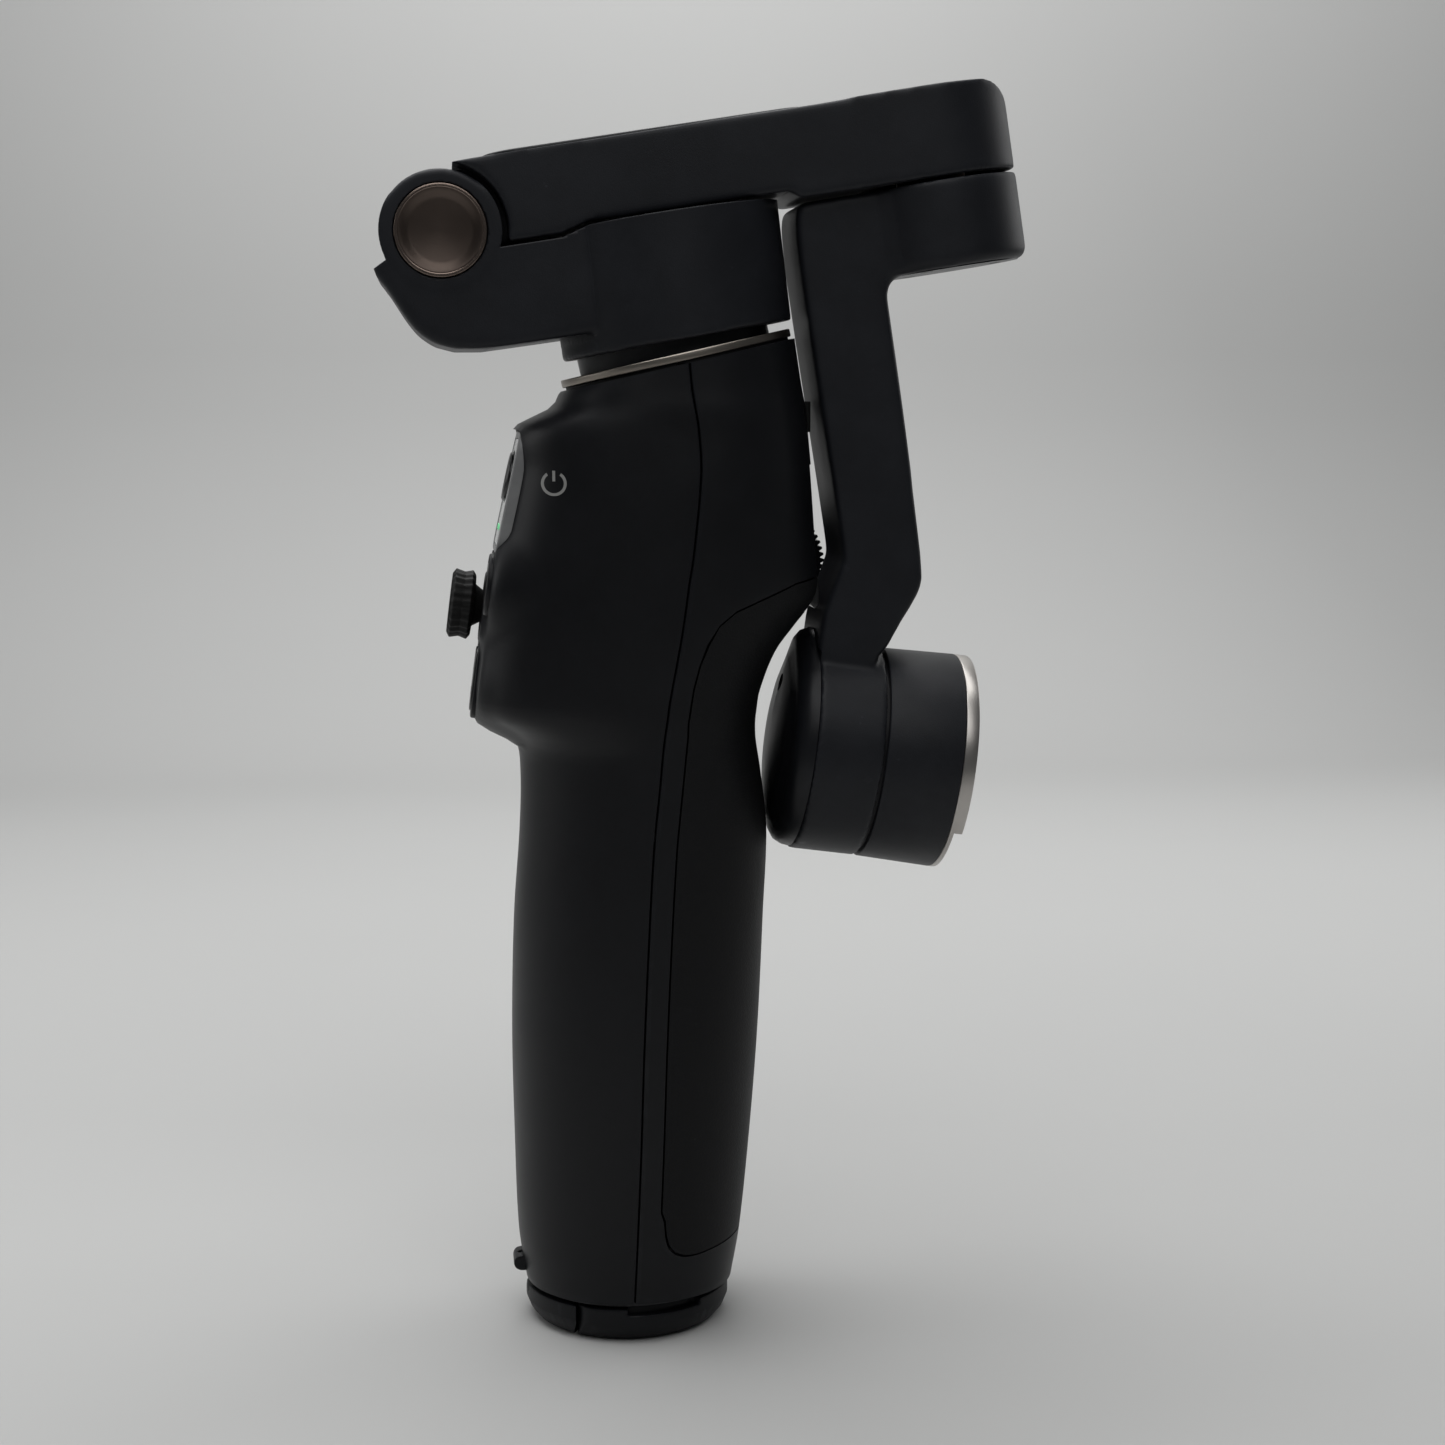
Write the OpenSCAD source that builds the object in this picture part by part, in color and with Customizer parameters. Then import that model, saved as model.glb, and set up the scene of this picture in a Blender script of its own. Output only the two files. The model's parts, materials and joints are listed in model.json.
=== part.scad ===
// Folding three-axis phone gimbal, folded and standing on its closed tripod base.
// Origin: centre of the base on the ground. +X: back of the grip, +Z: up, -Y: the user's right.

/* [Tripod base] */
// Outer radius of the ring of tripod legs
base_r = 15.8; // [15:0.1:17]
// Inner radius of the ring of tripod legs
leg_inner_r = 9.7; // [9:0.1:10]
// Height of the leg ring
base_h = 5.4; // [5:0.1:8]
// Height of the fixed core of the base above the ground
core_lift = 0.9; // [0.7:0.1:1.5]
// Radius of the circle of leg pins
leg_pin_circle_r = 12.6; // [12.45:0.05:12.7]
// Radius of a leg pin
leg_pin_r = 0.85; // [0.7:0.05:0.95]
// Slit between a leg's tip and the next leg's root
leg_slit = 0.65; // [0.6:0.05:1]
// Bore radius of the threaded tripod insert
insert_bore_r = 3.175; // [2.4:0.005:3.3]
// Outer radius of the threaded tripod insert
insert_r = 4.4; // [4:0.1:5]

/* [Handle] */
// Length of the grip, from the base seam to the ledge under the controls
grip_len = 84.3; // [82:0.1:100]
// Height of the head, from that ledge to the centre of the metal flange
head_len = 56.8; // [55:0.5:60]
// Reach of the grip in front of the origin
grip_front = 17.6; // [17:0.1:19]
// Reach of the grip behind the origin
grip_rear = 21.7; // [21:0.1:22.2]
// Half the width of the grip
grip_half = 18.5; // [18:0.1:20]
// Reach of the waist behind the origin, where the roll motor nests
waist_rear = 19.9; // [19:0.1:20.2]
// Reach of the control ledge in front of the origin
ledge_front = 22.9; // [22.5:0.1:24]
// Reach of the trigger bulge behind the origin
head_rear = 29.6; // [29:0.1:30]
// Half the width of the head
head_half = 19.3; // [19:0.1:20]
// Wall of the handle shells
shell_wall = 2; // [1.6:0.1:2.4]
// Depth of the soft grip let into the rear shell
grip_skin = 0.9; // [0.6:0.1:1.2]
// Radius of the battery cell
cell_r = 9.1; // [7:0.1:9.2]
// Length of the battery cell
cell_len = 65; // [50:1:66]

/* [Controls] */
// Height of the light control panel
panel_h = 18.4; // [17:0.1:19]
// Width of the light control panel
panel_w = 23; // [20:0.5:24]
// Radius of the mode button
mode_r = 3.8; // [3:0.1:4]
// Radius of the record button
record_r = 3.5; // [3:0.1:3.6]
// Radius of the joystick cap
stick_cap_r = 5.3; // [4.8:0.1:5.6]
// Thickness of the joystick cap
stick_cap_t = 3.6; // [3:0.1:4.5]
// Length of the oval switch button
switch_len = 10; // [8:0.1:10.5]
// Travel of the buttons
button_travel = 0.5; // [0.3:0.05:0.7]
// Radius of the zoom wheel
wheel_r = 9.7; // [9:0.1:10]
// Width of the zoom wheel
wheel_w = 5; // [4:0.1:5.5]
// Teeth on the zoom wheel
wheel_teeth = 60; // [40:1:72]
// Width of the trigger
trigger_w = 13; // [10:0.5:14]

/* [Extension rod] */
// Outer radius of the outer rod tube
rod_r = 7.9; // [7.5:0.1:8]
// Wall of the rod tubes
rod_wall = 1; // [0.8:0.05:1.2]
// Distance of the rod's axis behind the origin
rod_x = 6; // [5.8:0.1:6.2]

/* [Pan motor] */
// Backward tilt of the flange, from level
pan_tilt = 12.8; // [12:0.1:13.5]
// Radius of the metal flange
flange_r = 17.6; // [17:0.1:17.8]
// Thickness of the metal flange
flange_t = 1.2; // [1:0.1:1.5]
// Outer radius of the pan motor housing
pan_r = 17.4; // [17.2:0.05:17.6]
// Radius of the space inside the pan motor housing
pan_bore_r = 13.6; // [13:0.1:13.8]

/* [Fold hinge and fold arm] */
// Slope of the folded arm
arm_tilt = 9; // [8.5:0.1:9.5]
// Radius of the hinge cheeks
cheek_r = 8.8; // [8.5:0.05:9.1]
// Half the width of the pan arm at the hinge
arm_half = 12.4; // [12:0.1:13]
// Half the width of the fold arm's barrel between the cheeks
barrel_half = 6.7; // [6:0.1:7]
// Radius of the hinge pin
fold_pin_r = 3; // [2.5:0.1:3.5]
// Radius of the bronze hinge caps
cap_r = 6.7; // [6:0.1:7]
// Thickness of the folded arm
arm_t = 12.9; // [12.6:0.1:13.5]
// Distance from the hinge to the tilt motor's axis
fold_len = 74; // [73.8:0.1:76]
// Outer radius of the tilt motor
tilt_r = 12.7; // [12.4:0.1:13]
// Height of the lower tilt motor housing
tilt_h = 13.2; // [12.5:0.1:14]

/* [Tilt arm and roll motor] */
// Depth of the tilt arm, front to back
stem_depth = 12.4; // [12:0.1:13.4]
// Half the width of the tilt arm
stem_half = 9; // [8:0.1:9.5]
// Distance from the fold arm's underside down to the roll motor's centre
stem_len = 83.9; // [83.5:0.1:86]
// Angle between the roll axis and the square to the tilt arm
roll_cant = 16.7; // [15.5:0.1:17.5]
// Outer radius of the roll motor
roll_r = 16.2; // [16:0.1:16.6]
// Length of the roll motor's fixed housing
roll_can_len = 10.7; // [10:0.1:11]
// Length of the roll motor's turning housing
roll_cup_len = 11.5; // [10.5:0.1:12]
// Thickness of the metal clamp plate
clamp_t = 2; // [1.5:0.1:2.5]

/* [Hidden] */
$fn = 64;
small = 0.01;
run_fit = 0.05;      // radial clearance of a shaft in its bore
seam = 0.4;          // gap between neighbouring covers on different bodies
snug = 0.1;          // gap around a part let into another
leg_gap = 0.3;       // gap between a leg and the fixed parts of the base
plate_rim_t = 0.6;   // rim of the base plate, between the legs and the shells
plate_t = 2.4;       // base plate inside the shells
leg_count = 3;
leg_turn = 360 / leg_count;

// Heights of the handle
shell_z = base_h + leg_gap + plate_rim_t;
ledge_z = shell_z + grip_len;
pan_x = 8.2;
pan_z = ledge_z + head_len;
cell_x = -3;
cell_z = shell_z + 5;
cell_head_gap = 2.3;             // between the battery cell and the deck above it
deck_z = cell_z + cell_len + cell_head_gap;
deck_t = 2;
deck_x = 2.4;
deck_gap = 0.3;                  // between the deck and the rear shell at the waist
shell_top = -0.4;                // top of the handle shells, along the pan axis

// Stations of the handle: height, front, widest line, rear, half width
handle_stations = [
    [shell_z, -base_r, 0, base_r + 0.5, base_r],
    [shell_z + 0.09 * grip_len, -base_r - 1.1, 0.3, base_r + 1.8, grip_half - 1.7],
    [shell_z + 0.28 * grip_len, -grip_front + 0.2, 0.9, grip_rear - 2.5, grip_half - 0.6],
    [shell_z + 0.47 * grip_len, -grip_front, 1.4, grip_rear - 1.3, grip_half - 0.1],
    [shell_z + 0.68 * grip_len, -grip_front + 0.5, 2.2, grip_rear - 0.5, grip_half],
    [ledge_z - 13.5, -grip_front + 1.5, 3, grip_rear, grip_half],
    [ledge_z - 4.5, -grip_front + 1.7, 3.9, waist_rear + 0.8, grip_half + 0.1],
    [ledge_z, -grip_front + 1, 4.3, waist_rear + 0.1, grip_half + 0.2],
    [ledge_z + 2.6, -ledge_front + 3.7, 4.6, waist_rear, head_half - 0.5],
    [ledge_z + 4.6, -ledge_front + 0.6, 4.9, waist_rear + 0.2, head_half - 0.4],
    [ledge_z + 7.6, -ledge_front, 5.3, waist_rear + 0.7, head_half - 0.3],
    [ledge_z + 13.6, -ledge_front + 0.7, 6.4, waist_rear + 3.1, head_half - 0.1],
    [ledge_z + 17.6, -ledge_front + 1.2, 7.1, head_rear - 3.6, head_half],
    [ledge_z + 21.6, -ledge_front + 1.8, 7.7, head_rear - 0.5, head_half],
    [ledge_z + 24.6, -ledge_front + 2.2, 8.1, head_rear + 0.1, head_half],
    [ledge_z + 29, -ledge_front + 3.3, 8.8, head_rear - 0.3, head_half],
    [ledge_z + 40.6, -ledge_front + 5.9, 9.9, head_rear - 1.2, head_half - 0.3],
    [ledge_z + 47, -ledge_front + 6.5, 9.6, head_rear - 1.8, head_half - 0.7],
    [ledge_z + 50.1, -flange_r + 6.9, 9.1, pan_x + flange_r + 1.7, flange_r + 0.9],
    [ledge_z + 52.6, -flange_r + 8.5, 8.7, pan_x + flange_r + 1.2, flange_r + 0.6],
    [ledge_z + 57.6, -flange_r + 14, 8.3, pan_x + flange_r + 0.4, flange_r + 0.3],
    [ledge_z + 63, -flange_r + 19, 8.2, pan_x + flange_r - 0.4, flange_r + 0.2],
];
ring_points = 40;
rear_round = 2.25;     // squareness of the rear half of the section
grip_round = 2.1;      // squareness of the front half at the grip
head_round = 2.9;      // squareness of the front half at the controls

// Places of the controls, measured from the ledge
panel_x = -ledge_front + 5.3;
panel_z = ledge_z + 37.6;
panel_lean = 12.5;
panel_t = 1.6;
mode_up = 2.3;
control_x = -ledge_front + 1.4;
control_z = ledge_z + 17;
control_lean = 7.5;
stick_up = 3;
stick_y = 4.5;
record_up = 7.2;
record_y = -7;
switch_up = -7.4;
switch_y = -2.5;
switch_w = 5;
stick_pivot = -5.6;      // depth of the joystick's pivot under the face
stick_hole_r = 4.6;
button_gap = 0.35;       // between a button and its opening
cut_depth = shell_wall + 6;
stick_travel_gap = 1.6;  // gap between the joystick cap and the face
socket_w = 10;
yoke_half = 3.6;
yoke_axle_r = 0.8;
stick_stem_r = 1.4;
stem_axle_r = 0.6;
board_depth = 9;         // depth of the control board under the face
board_t = 1.2;

trigger_pivot_x = head_rear - 6.9;
trigger_pivot_z = ledge_z + 38.6;
trigger_pin_r = 1.2;
trigger_travel = 8;
wheel_x = head_rear - 6;
wheel_z = ledge_z + 25.4;
wheel_y = head_half - 3.7;
axle_r = 1.5;
frame_y = trigger_w / 2 + 0.5;   // inner face of the trigger frame's cheeks
frame_t = 1.4;
frame_boss_r = 2.8;

// Rod
guide_r = rod_r + run_fit;
guide_wall = 1.4;
inner_rod_r = rod_r - rod_wall - run_fit;
rod_z = deck_z + deck_t + 0.6;

// Motors
shaft_r = 2;
bearing_r = 4.2;
hub_r = 5.2;
air_gap = 0.5;
magnet_t = 1.8;
pan_floor = 4.2;         // top of the pan motor's fixed collar
pan_top = 17.2;          // underside of the pan cover, along the pan axis

// Fold arm, in its own frame: origin at the hinge, x along the arm
hinge_x = -26.8;
hinge_z = pan_z + 18.35;
arm_under = -3.1;
arm_relief = 1.2;        // how far the arm's underside steps up over the pan motor
arm_top = arm_under + arm_t;
pan_arm_gap = 0.5;       // between the fold arm and the pan arm under it
pan_arm_top = arm_under - pan_arm_gap;
pan_arm_floor = -17.6;   // underside of the pan arm
barrel_lean = 7;         // lean of the pan motor housing
barrel_cut = 10.5;       // slope of the housing's lower rim
barrel_z = pan_z + 3;
// Axis of the housing in the arm's frame
barrel_x = (pan_x + 0.1 - hinge_x) * cos(arm_tilt) + (barrel_z - hinge_z) * sin(arm_tilt);
step_x0 = barrel_x - pan_r + 2;   // where the step under the fold arm begins and ends
step_x1 = step_x0 + 4;
arc_r = cheek_r + 0.9;
cap_depth = 1.6;         // depth of the seats of the bronze caps
cap_top = arm_top + 0.3;
tilt_bore_r = tilt_r - 1.5;
cover_x0 = 7.6;
cover_x1 = 56.5;
cover_half = 9;
cover_t = 1.2;

// Tilt arm, in the same frame
can_top = arm_under - seam;
can_bottom = arm_under - tilt_h;
end_plate_t = 1.4;
stem_gap = 1.4;          // between the stem and the pan motor housing
stem_x = barrel_x + pan_r + stem_gap + stem_depth / 2;
roll_x = stem_x - 5.7;
stem_x0 = stem_x - stem_depth / 2;
stem_x1 = stem_x + stem_depth / 2;
roll_z = arm_under - stem_len;
roll_bore_r = roll_r - 1.6;
roll_foot_up = 10.8;     // from the roll axis up to the middle of the foot
foot_half = 7.6;
roll_z_to_foot = 21;     // height of the foot above the roll axis

// ---------- frames ----------
module in_pan_frame() {
    translate([pan_x, 0, pan_z]) rotate([0, -pan_tilt, 0]) children();
}

module in_arm_frame() {
    translate([hinge_x, 0, hinge_z]) rotate([0, -arm_tilt, 0]) children();
}

module in_roll_frame() {
    in_arm_frame() translate([roll_x, 0, roll_z]) rotate([0, 90 + roll_cant, 0]) children();
}

// z points out of the face, x points up along it
module in_panel_frame() {
    translate([panel_x, 0, panel_z]) rotate([0, panel_lean - 90, 0]) children();
}

module in_control_frame() {
    translate([control_x, 0, control_z]) rotate([0, control_lean - 90, 0]) children();
}

// ---------- shared shapes ----------
// Tube or disc from z0 to z1; an inner radius of 0 leaves it solid
module ring(outer_r, inner_r, z0, z1) {
    difference() {
        translate([0, 0, z0]) cylinder(r = outer_r, h = z1 - z0);
        if (inner_r > 0) translate([0, 0, z0 - 1]) cylinder(r = inner_r, h = z1 - z0 + 2);
    }
}

// Cylinder along y, centred on y = 0
module cross_rod(r, half_len) {
    translate([0, half_len, 0]) rotate([90, 0, 0]) cylinder(r = r, h = 2 * half_len);
}

// Box from corner to corner
module block(low, high) {
    translate(low) cube(high - low);
}

// Rectangle with round corners, centred
module round_rect(w, d, r) {
    for (x = [-1, 1], y = [-1, 1])
        translate([x * (w / 2 - r), y * (d / 2 - r)]) circle(r = r);
    if (w > 2 * r) square([w - 2 * r, d], center = true);
    if (d > 2 * r) square([w, d - 2 * r], center = true);
}

// A side view in x and z, given thickness along y
module side_plate(half_width) {
    rotate([90, 0, 0]) linear_extrude(2 * half_width, center = true) children();
}

// Points on an arc in a side view
function arc(cx, cz, r, a0, a1, steps = 8) =
    [for (i = [0:steps]) let (a = a0 + (a1 - a0) * i / steps) [cx + r * cos(a), cz + r * sin(a)]];

// ---------- handle skin ----------
function span_index(z, i = 0) =
    i >= len(handle_stations) - 2 || z <= handle_stations[i + 1][0] ? i : span_index(z, i + 1);

function station_slope(i, k) =
    let (low = max(i - 1, 0), high = min(i + 1, len(handle_stations) - 1))
    (handle_stations[high][k] - handle_stations[low][k]) / (handle_stations[high][0] - handle_stations[low][0]);

// Smooth value of column k of the stations at height z
function skin_value(z, k) =
    let (
        i = span_index(z),
        a = handle_stations[i],
        b = handle_stations[i + 1],
        h = b[0] - a[0],
        t = (z - a[0]) / h
    )
    (2 * pow(t, 3) - 3 * pow(t, 2) + 1) * a[k] + (pow(t, 3) - 2 * pow(t, 2) + t) * h * station_slope(i, k)
    + (3 * pow(t, 2) - 2 * pow(t, 3)) * b[k] + (pow(t, 3) - pow(t, 2)) * h * station_slope(i + 1, k);

function front_squareness(z) =
    grip_round + (head_round - grip_round) * min(1, max(0, (z - ledge_z) / 6));

// Squared oval of the handle at height z, moved in by inset. Each layer's points are
// turned a little, so that its edges never lie along those of the layer outside it.
function skin_ring(z, inset) =
    let (front = skin_value(z, 1), middle = skin_value(z, 2), rear = skin_value(z, 3), half = skin_value(z, 4))
    [for (i = [0:ring_points - 1])
        let (
            a = 360 * (i + 0.5 + 0.13 * inset) / ring_points,
            c = cos(a),
            s = sin(a),
            n = c > 0 ? rear_round : front_squareness(z),
            reach = (c > 0 ? rear - middle : middle - front) - inset
        )
        [middle + sign(c) * reach * pow(abs(c), 2 / n), sign(s) * (half - inset) * pow(abs(s), 2 / n), z]];

// Heights of the rings: every station and the middle of every span
ring_heights = [for (i = [0:len(handle_stations) - 2]) each [
    handle_stations[i][0],
    (handle_stations[i][0] + handle_stations[i + 1][0]) / 2,
], handle_stations[len(handle_stations) - 1][0]];

tube_faces = concat(
    [[for (i = [0:ring_points - 1]) i]],
    [[for (i = [0:ring_points - 1]) 2 * ring_points - 1 - i]],
    [for (i = [0:ring_points - 1]) let (j = (i + 1) % ring_points) [i, i + ring_points, j + ring_points, j]]
);

// Solid of the handle, moved in by inset; an inner layer runs out through the bottom
module handle_skin(inset) {
    heights = concat(inset > 0 ? [shell_z - 1.13] : [], [for (z = ring_heights) z + 0.371 * inset]);
    for (i = [0:len(heights) - 2])
        hull() polyhedron(concat(skin_ring(heights[i], inset), skin_ring(heights[i + 1], inset)), tube_faces);
}

// Everything under the tilted top of the handle
module under_top() {
    in_pan_frame() translate([-100, -100, -250 + shell_top]) cube([200, 200, 250]);
}

// Side view of everything behind the line of seams, moved back by offset_x
seam_heights = [for (z = [shell_z - 0.73 : 4.337 : ledge_z + 66]) z];

function seam_line(offset_x) =
    [for (z = seam_heights) [skin_value(z, 2) + offset_x, z]];

module behind_seam(offset_x) {
    side_plate(60) polygon(concat(seam_line(offset_x),
        [[90, seam_heights[len(seam_heights) - 1]], [90, seam_heights[0]]]));
}

// Side view of the soft grip, moved in by gap
function grip_outline(gap) = concat(
    [[60, shell_z + 9.4 + gap], [12, shell_z + 7.8 + gap], [8.8, shell_z + 6.7 + gap], [5.9, shell_z + 6.8 + gap]],
    [[4.2 + gap, shell_z + 8.6 + gap]],
    [for (z = [shell_z + 14.71 : 7.93 : ledge_z + 9]) [skin_value(z, 2) + 3.4 + gap, z]],
    [[10.7 + gap, ledge_z + 15.8 - gap], [12.3, ledge_z + 19 - gap], [15.1, ledge_z + 21.1 - gap]],
    [[19, ledge_z + 22.3 - gap], [24.5, ledge_z + 24.3 - gap], [60, ledge_z + 30 - gap]]
);

module handle_wall() {
    difference() {
        intersection() {
            handle_skin(0);
            under_top();
        }
        handle_skin(shell_wall);
    }
}

// Recess and hole for everything let into the front of the handle
module control_cuts() {
    in_panel_frame() {
        translate([0, 0, -panel_t - snug]) linear_extrude(8) round_rect(panel_h + 2 * snug, panel_w + 2 * snug, 3);
        translate([mode_up, 0, -cut_depth]) cylinder(r = mode_r - 1, h = 2 * cut_depth);
    }
    in_control_frame() {
        translate([stick_up, stick_y, -cut_depth]) cylinder(r = stick_hole_r, h = 2 * cut_depth);
        translate([record_up, record_y, -cut_depth]) cylinder(r = record_r + button_gap, h = 2 * cut_depth);
        translate([switch_up, switch_y, -cut_depth]) linear_extrude(2 * cut_depth)
            round_rect(switch_len + 2 * button_gap, switch_w + 2 * button_gap, switch_w / 2);
    }
}

module front_shell() {
    color([0.09, 0.09, 0.1]) difference() {
        union() {
            difference() {
                handle_wall();
                behind_seam(-snug / 2);
            }
            // Backing of the recess that holds the control panel
            intersection() {
                in_panel_frame() translate([0, 0, -panel_t - 1.5]) linear_extrude(1.5 - snug)
                    round_rect(panel_h + 4, panel_w + 5, 3);
                handle_skin(0.5);
            }
            // Posts for the control board
            intersection() {
                in_control_frame() for (p = post_places)
                    translate([p[0], p[1], -board_depth]) cylinder(r = 1.9, h = 12, $fn = 24);
                handle_skin(0.7);
            }
        }
        control_cuts();
        strap_lug_shape(snug);
        usb_cut();
        in_panel_frame() translate([mode_up, 0, -12]) cylinder(r = mode_r - 1, h = 14);
    }
}

// Space for the trigger, swept over its travel
module trigger_cut() {
    block([trigger_pivot_x - 9, -trigger_w / 2 - 0.4, ledge_z + 19.4],
        [head_rear + 5, trigger_w / 2 + 0.4, trigger_pivot_z + 3]);
}

module wheel_pocket(extra_r, floor_y) {
    translate([wheel_x, floor_y, wheel_z]) rotate([-90, 0, 0]) cylinder(r = wheel_r + extra_r, h = 20);
}

module rear_shell() {
    color([0.09, 0.09, 0.1]) difference() {
        union() {
            intersection() {
                handle_wall();
                behind_seam(snug / 2);
            }
            // Floor of the wheel's pocket
            intersection() {
                handle_skin(0.5);
                behind_seam(snug / 2);
                translate([wheel_x, wheel_y - 2, wheel_z]) rotate([-90, 0, 0]) cylinder(r = wheel_r + 2, h = 1.6);
            }
        }
        difference() {
            side_plate(60) polygon(grip_outline(-snug));
            handle_skin(grip_skin + snug);
        }
        trigger_cut();
        wheel_pocket(0.6, wheel_y - 0.4);
        translate([wheel_x, frame_y - 1, wheel_z]) rotate([-90, 0, 0]) {
            cylinder(r = axle_r + 0.4, h = 12);
            cylinder(r = frame_boss_r + 0.3, h = 4.3);
        }
        rest_bumper_shape(snug);
    }
}

module rear_grip() {
    color([0.13, 0.13, 0.13]) difference() {
        intersection() {
            handle_skin(0);
            side_plate(60) polygon(grip_outline(0));
        }
        handle_skin(grip_skin);
        trigger_cut();
        wheel_pocket(0.6, 0);
    }
}

// ---------- controls ----------
module control_panel() {
    color([0.62, 0.62, 0.63]) in_panel_frame() difference() {
        translate([0, 0, -panel_t]) linear_extrude(panel_t) round_rect(panel_h, panel_w, 3);
        translate([0, 0, -0.8]) linear_extrude(3) round_rect(panel_h - 2, panel_w - 5, 2);
        translate([mode_up, 0, -8]) cylinder(r = mode_r + 0.35, h = 12);
    }
}

module status_window() {
    color([0.82, 0.83, 0.84]) in_panel_frame() difference() {
        translate([0, 0, -0.8]) linear_extrude(0.75) round_rect(panel_h - 2.2, panel_w - 5.2, 1.9);
        translate([mode_up, 0, -8]) cylinder(r = mode_r + 0.35, h = 12);
    }
}

// Centres of the posts that carry the control board
post_places = [for (x = [-9, 23], y = [-10.5, 10.5]) [x, y]];

module control_board() {
    color([0.05, 0.3, 0.2]) in_control_frame() difference() {
        translate([-12, -13, -board_depth - board_t]) cube([38, 26, board_t]);
        for (p = post_places) translate([p[0], p[1], -20]) cylinder(r = 1, h = 20);
    }
}

module mode_button() {
    color([0.06, 0.06, 0.06]) in_panel_frame() translate([mode_up, 0, 0]) {
        translate([0, 0, button_travel - panel_t]) cylinder(r = mode_r, h = panel_t - button_travel + 0.8);
        translate([0, 0, 0.8]) cylinder(r1 = mode_r, r2 = mode_r - 0.6, h = 0.5, $fn = 48);
        translate([0, 0, -4]) cylinder(r = mode_r - 1.5, h = 3);
    }
}

module record_button() {
    color([0.07, 0.07, 0.07]) in_control_frame() translate([record_up, record_y, 0]) difference() {
        union() {
            translate([0, 0, -6.5]) cylinder(r = record_r, h = 6.6);
            translate([0, 0, 0.1]) cylinder(r = record_r - 0.6, h = 0.25);
        }
        ring(record_r - 1.2, record_r - 1.6, 0.2, 2);
    }
}

module switch_button() {
    color([0.07, 0.07, 0.07]) in_control_frame() translate([switch_up, switch_y, 0]) {
        translate([0, 0, -6.5]) linear_extrude(6.9) round_rect(switch_len, switch_w, switch_w / 2);
        translate([0, 0, 0.4]) linear_extrude(0.3) round_rect(switch_len - 1, switch_w - 1, switch_w / 2 - 0.5);
    }
}

module in_stick_frame() {
    in_control_frame() translate([stick_up, stick_y, 0]) children();
}

module joystick_socket() {
    color([0.2, 0.2, 0.22]) in_stick_frame() difference() {
        block([-socket_w / 2, -socket_w / 2, -board_depth], [socket_w / 2, socket_w / 2, stick_pivot + 1.5]);
        block([1 - socket_w / 2, 1 - socket_w / 2, 1 - board_depth], [socket_w / 2 - 1, socket_w / 2 - 1, 0]);
        translate([-socket_w, 0, stick_pivot]) rotate([0, 90, 0])
            cylinder(r = yoke_axle_r + run_fit, h = 2 * socket_w);
    }
}

module joystick_yoke() {
    color([0.35, 0.35, 0.36]) in_stick_frame() translate([0, 0, stick_pivot]) difference() {
        union() {
            block([-yoke_half, -yoke_half, -0.9], [yoke_half, yoke_half, 0.9]);
            for (x = [-socket_w / 2, socket_w / 2 - 2])
                translate([x, 0, 0]) rotate([0, 90, 0]) cylinder(r = yoke_axle_r, h = 2);
        }
        block([1 - yoke_half, 1 - yoke_half, -2], [yoke_half - 1, yoke_half - 1, 2]);
        cross_rod(stem_axle_r + run_fit, 8);
    }
}

module joystick_stem() {
    stem_bottom = stick_pivot - 1.1;
    color([0.35, 0.35, 0.36]) in_stick_frame() {
        translate([0, 0, stick_pivot]) cross_rod(stem_axle_r, yoke_half - 0.1);
        translate([0, 0, stem_bottom]) cylinder(r = stick_stem_r, h = stick_travel_gap + 1 - stem_bottom);
    }
}

module joystick_cap() {
    grips = 16;
    color([0.05, 0.05, 0.05]) in_stick_frame() difference() {
        union() {
            translate([0, 0, stick_travel_gap]) cylinder(r = stick_cap_r, h = stick_cap_t);
            translate([0, 0, -1.6]) cylinder(r1 = 2, r2 = 2.8, h = 1.6 + stick_travel_gap, $fn = 48);
        }
        translate([0, 0, stick_travel_gap + stick_cap_t - 0.6]) cylinder(r = stick_cap_r - 1.4, h = 2);
        translate([0, 0, -2]) cylinder(r = stick_stem_r, h = stick_travel_gap + 3);
        for (i = [0:grips - 1]) rotate([0, 0, 360 * i / grips])
            translate([stick_cap_r, 0, stick_travel_gap - 1]) cylinder(r = 0.45, h = stick_cap_t + 2, $fn = 16);
    }
}

// ---------- trigger and wheel ----------
module trigger() {
    color([0.06, 0.06, 0.06]) difference() {
        union() {
            side_plate(trigger_w / 2) polygon([
                [trigger_pivot_x - 2.4, trigger_pivot_z], [trigger_pivot_x - 1, trigger_pivot_z + 2.2],
                [head_rear - 2.2, trigger_pivot_z + 2.4], [head_rear - 1.7, ledge_z + 32],
                [head_rear - 1, ledge_z + 26], [head_rear - 0.5, ledge_z + 23],
                [head_rear - 0.4, ledge_z + 20.6], [head_rear - 1.2, ledge_z + 20],
                [head_rear - 2.6, ledge_z + 21.5], [head_rear - 3.8, ledge_z + 30]]);
            translate([trigger_pivot_x, 0, trigger_pivot_z]) cross_rod(2.6, trigger_w / 2);
        }
        translate([trigger_pivot_x, 0, trigger_pivot_z]) cross_rod(trigger_pin_r + run_fit, 20);
    }
}

module trigger_pin() {
    color([0.7, 0.7, 0.72]) translate([trigger_pivot_x, 0, trigger_pivot_z])
        cross_rod(trigger_pin_r, frame_y + frame_t);
}

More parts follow.
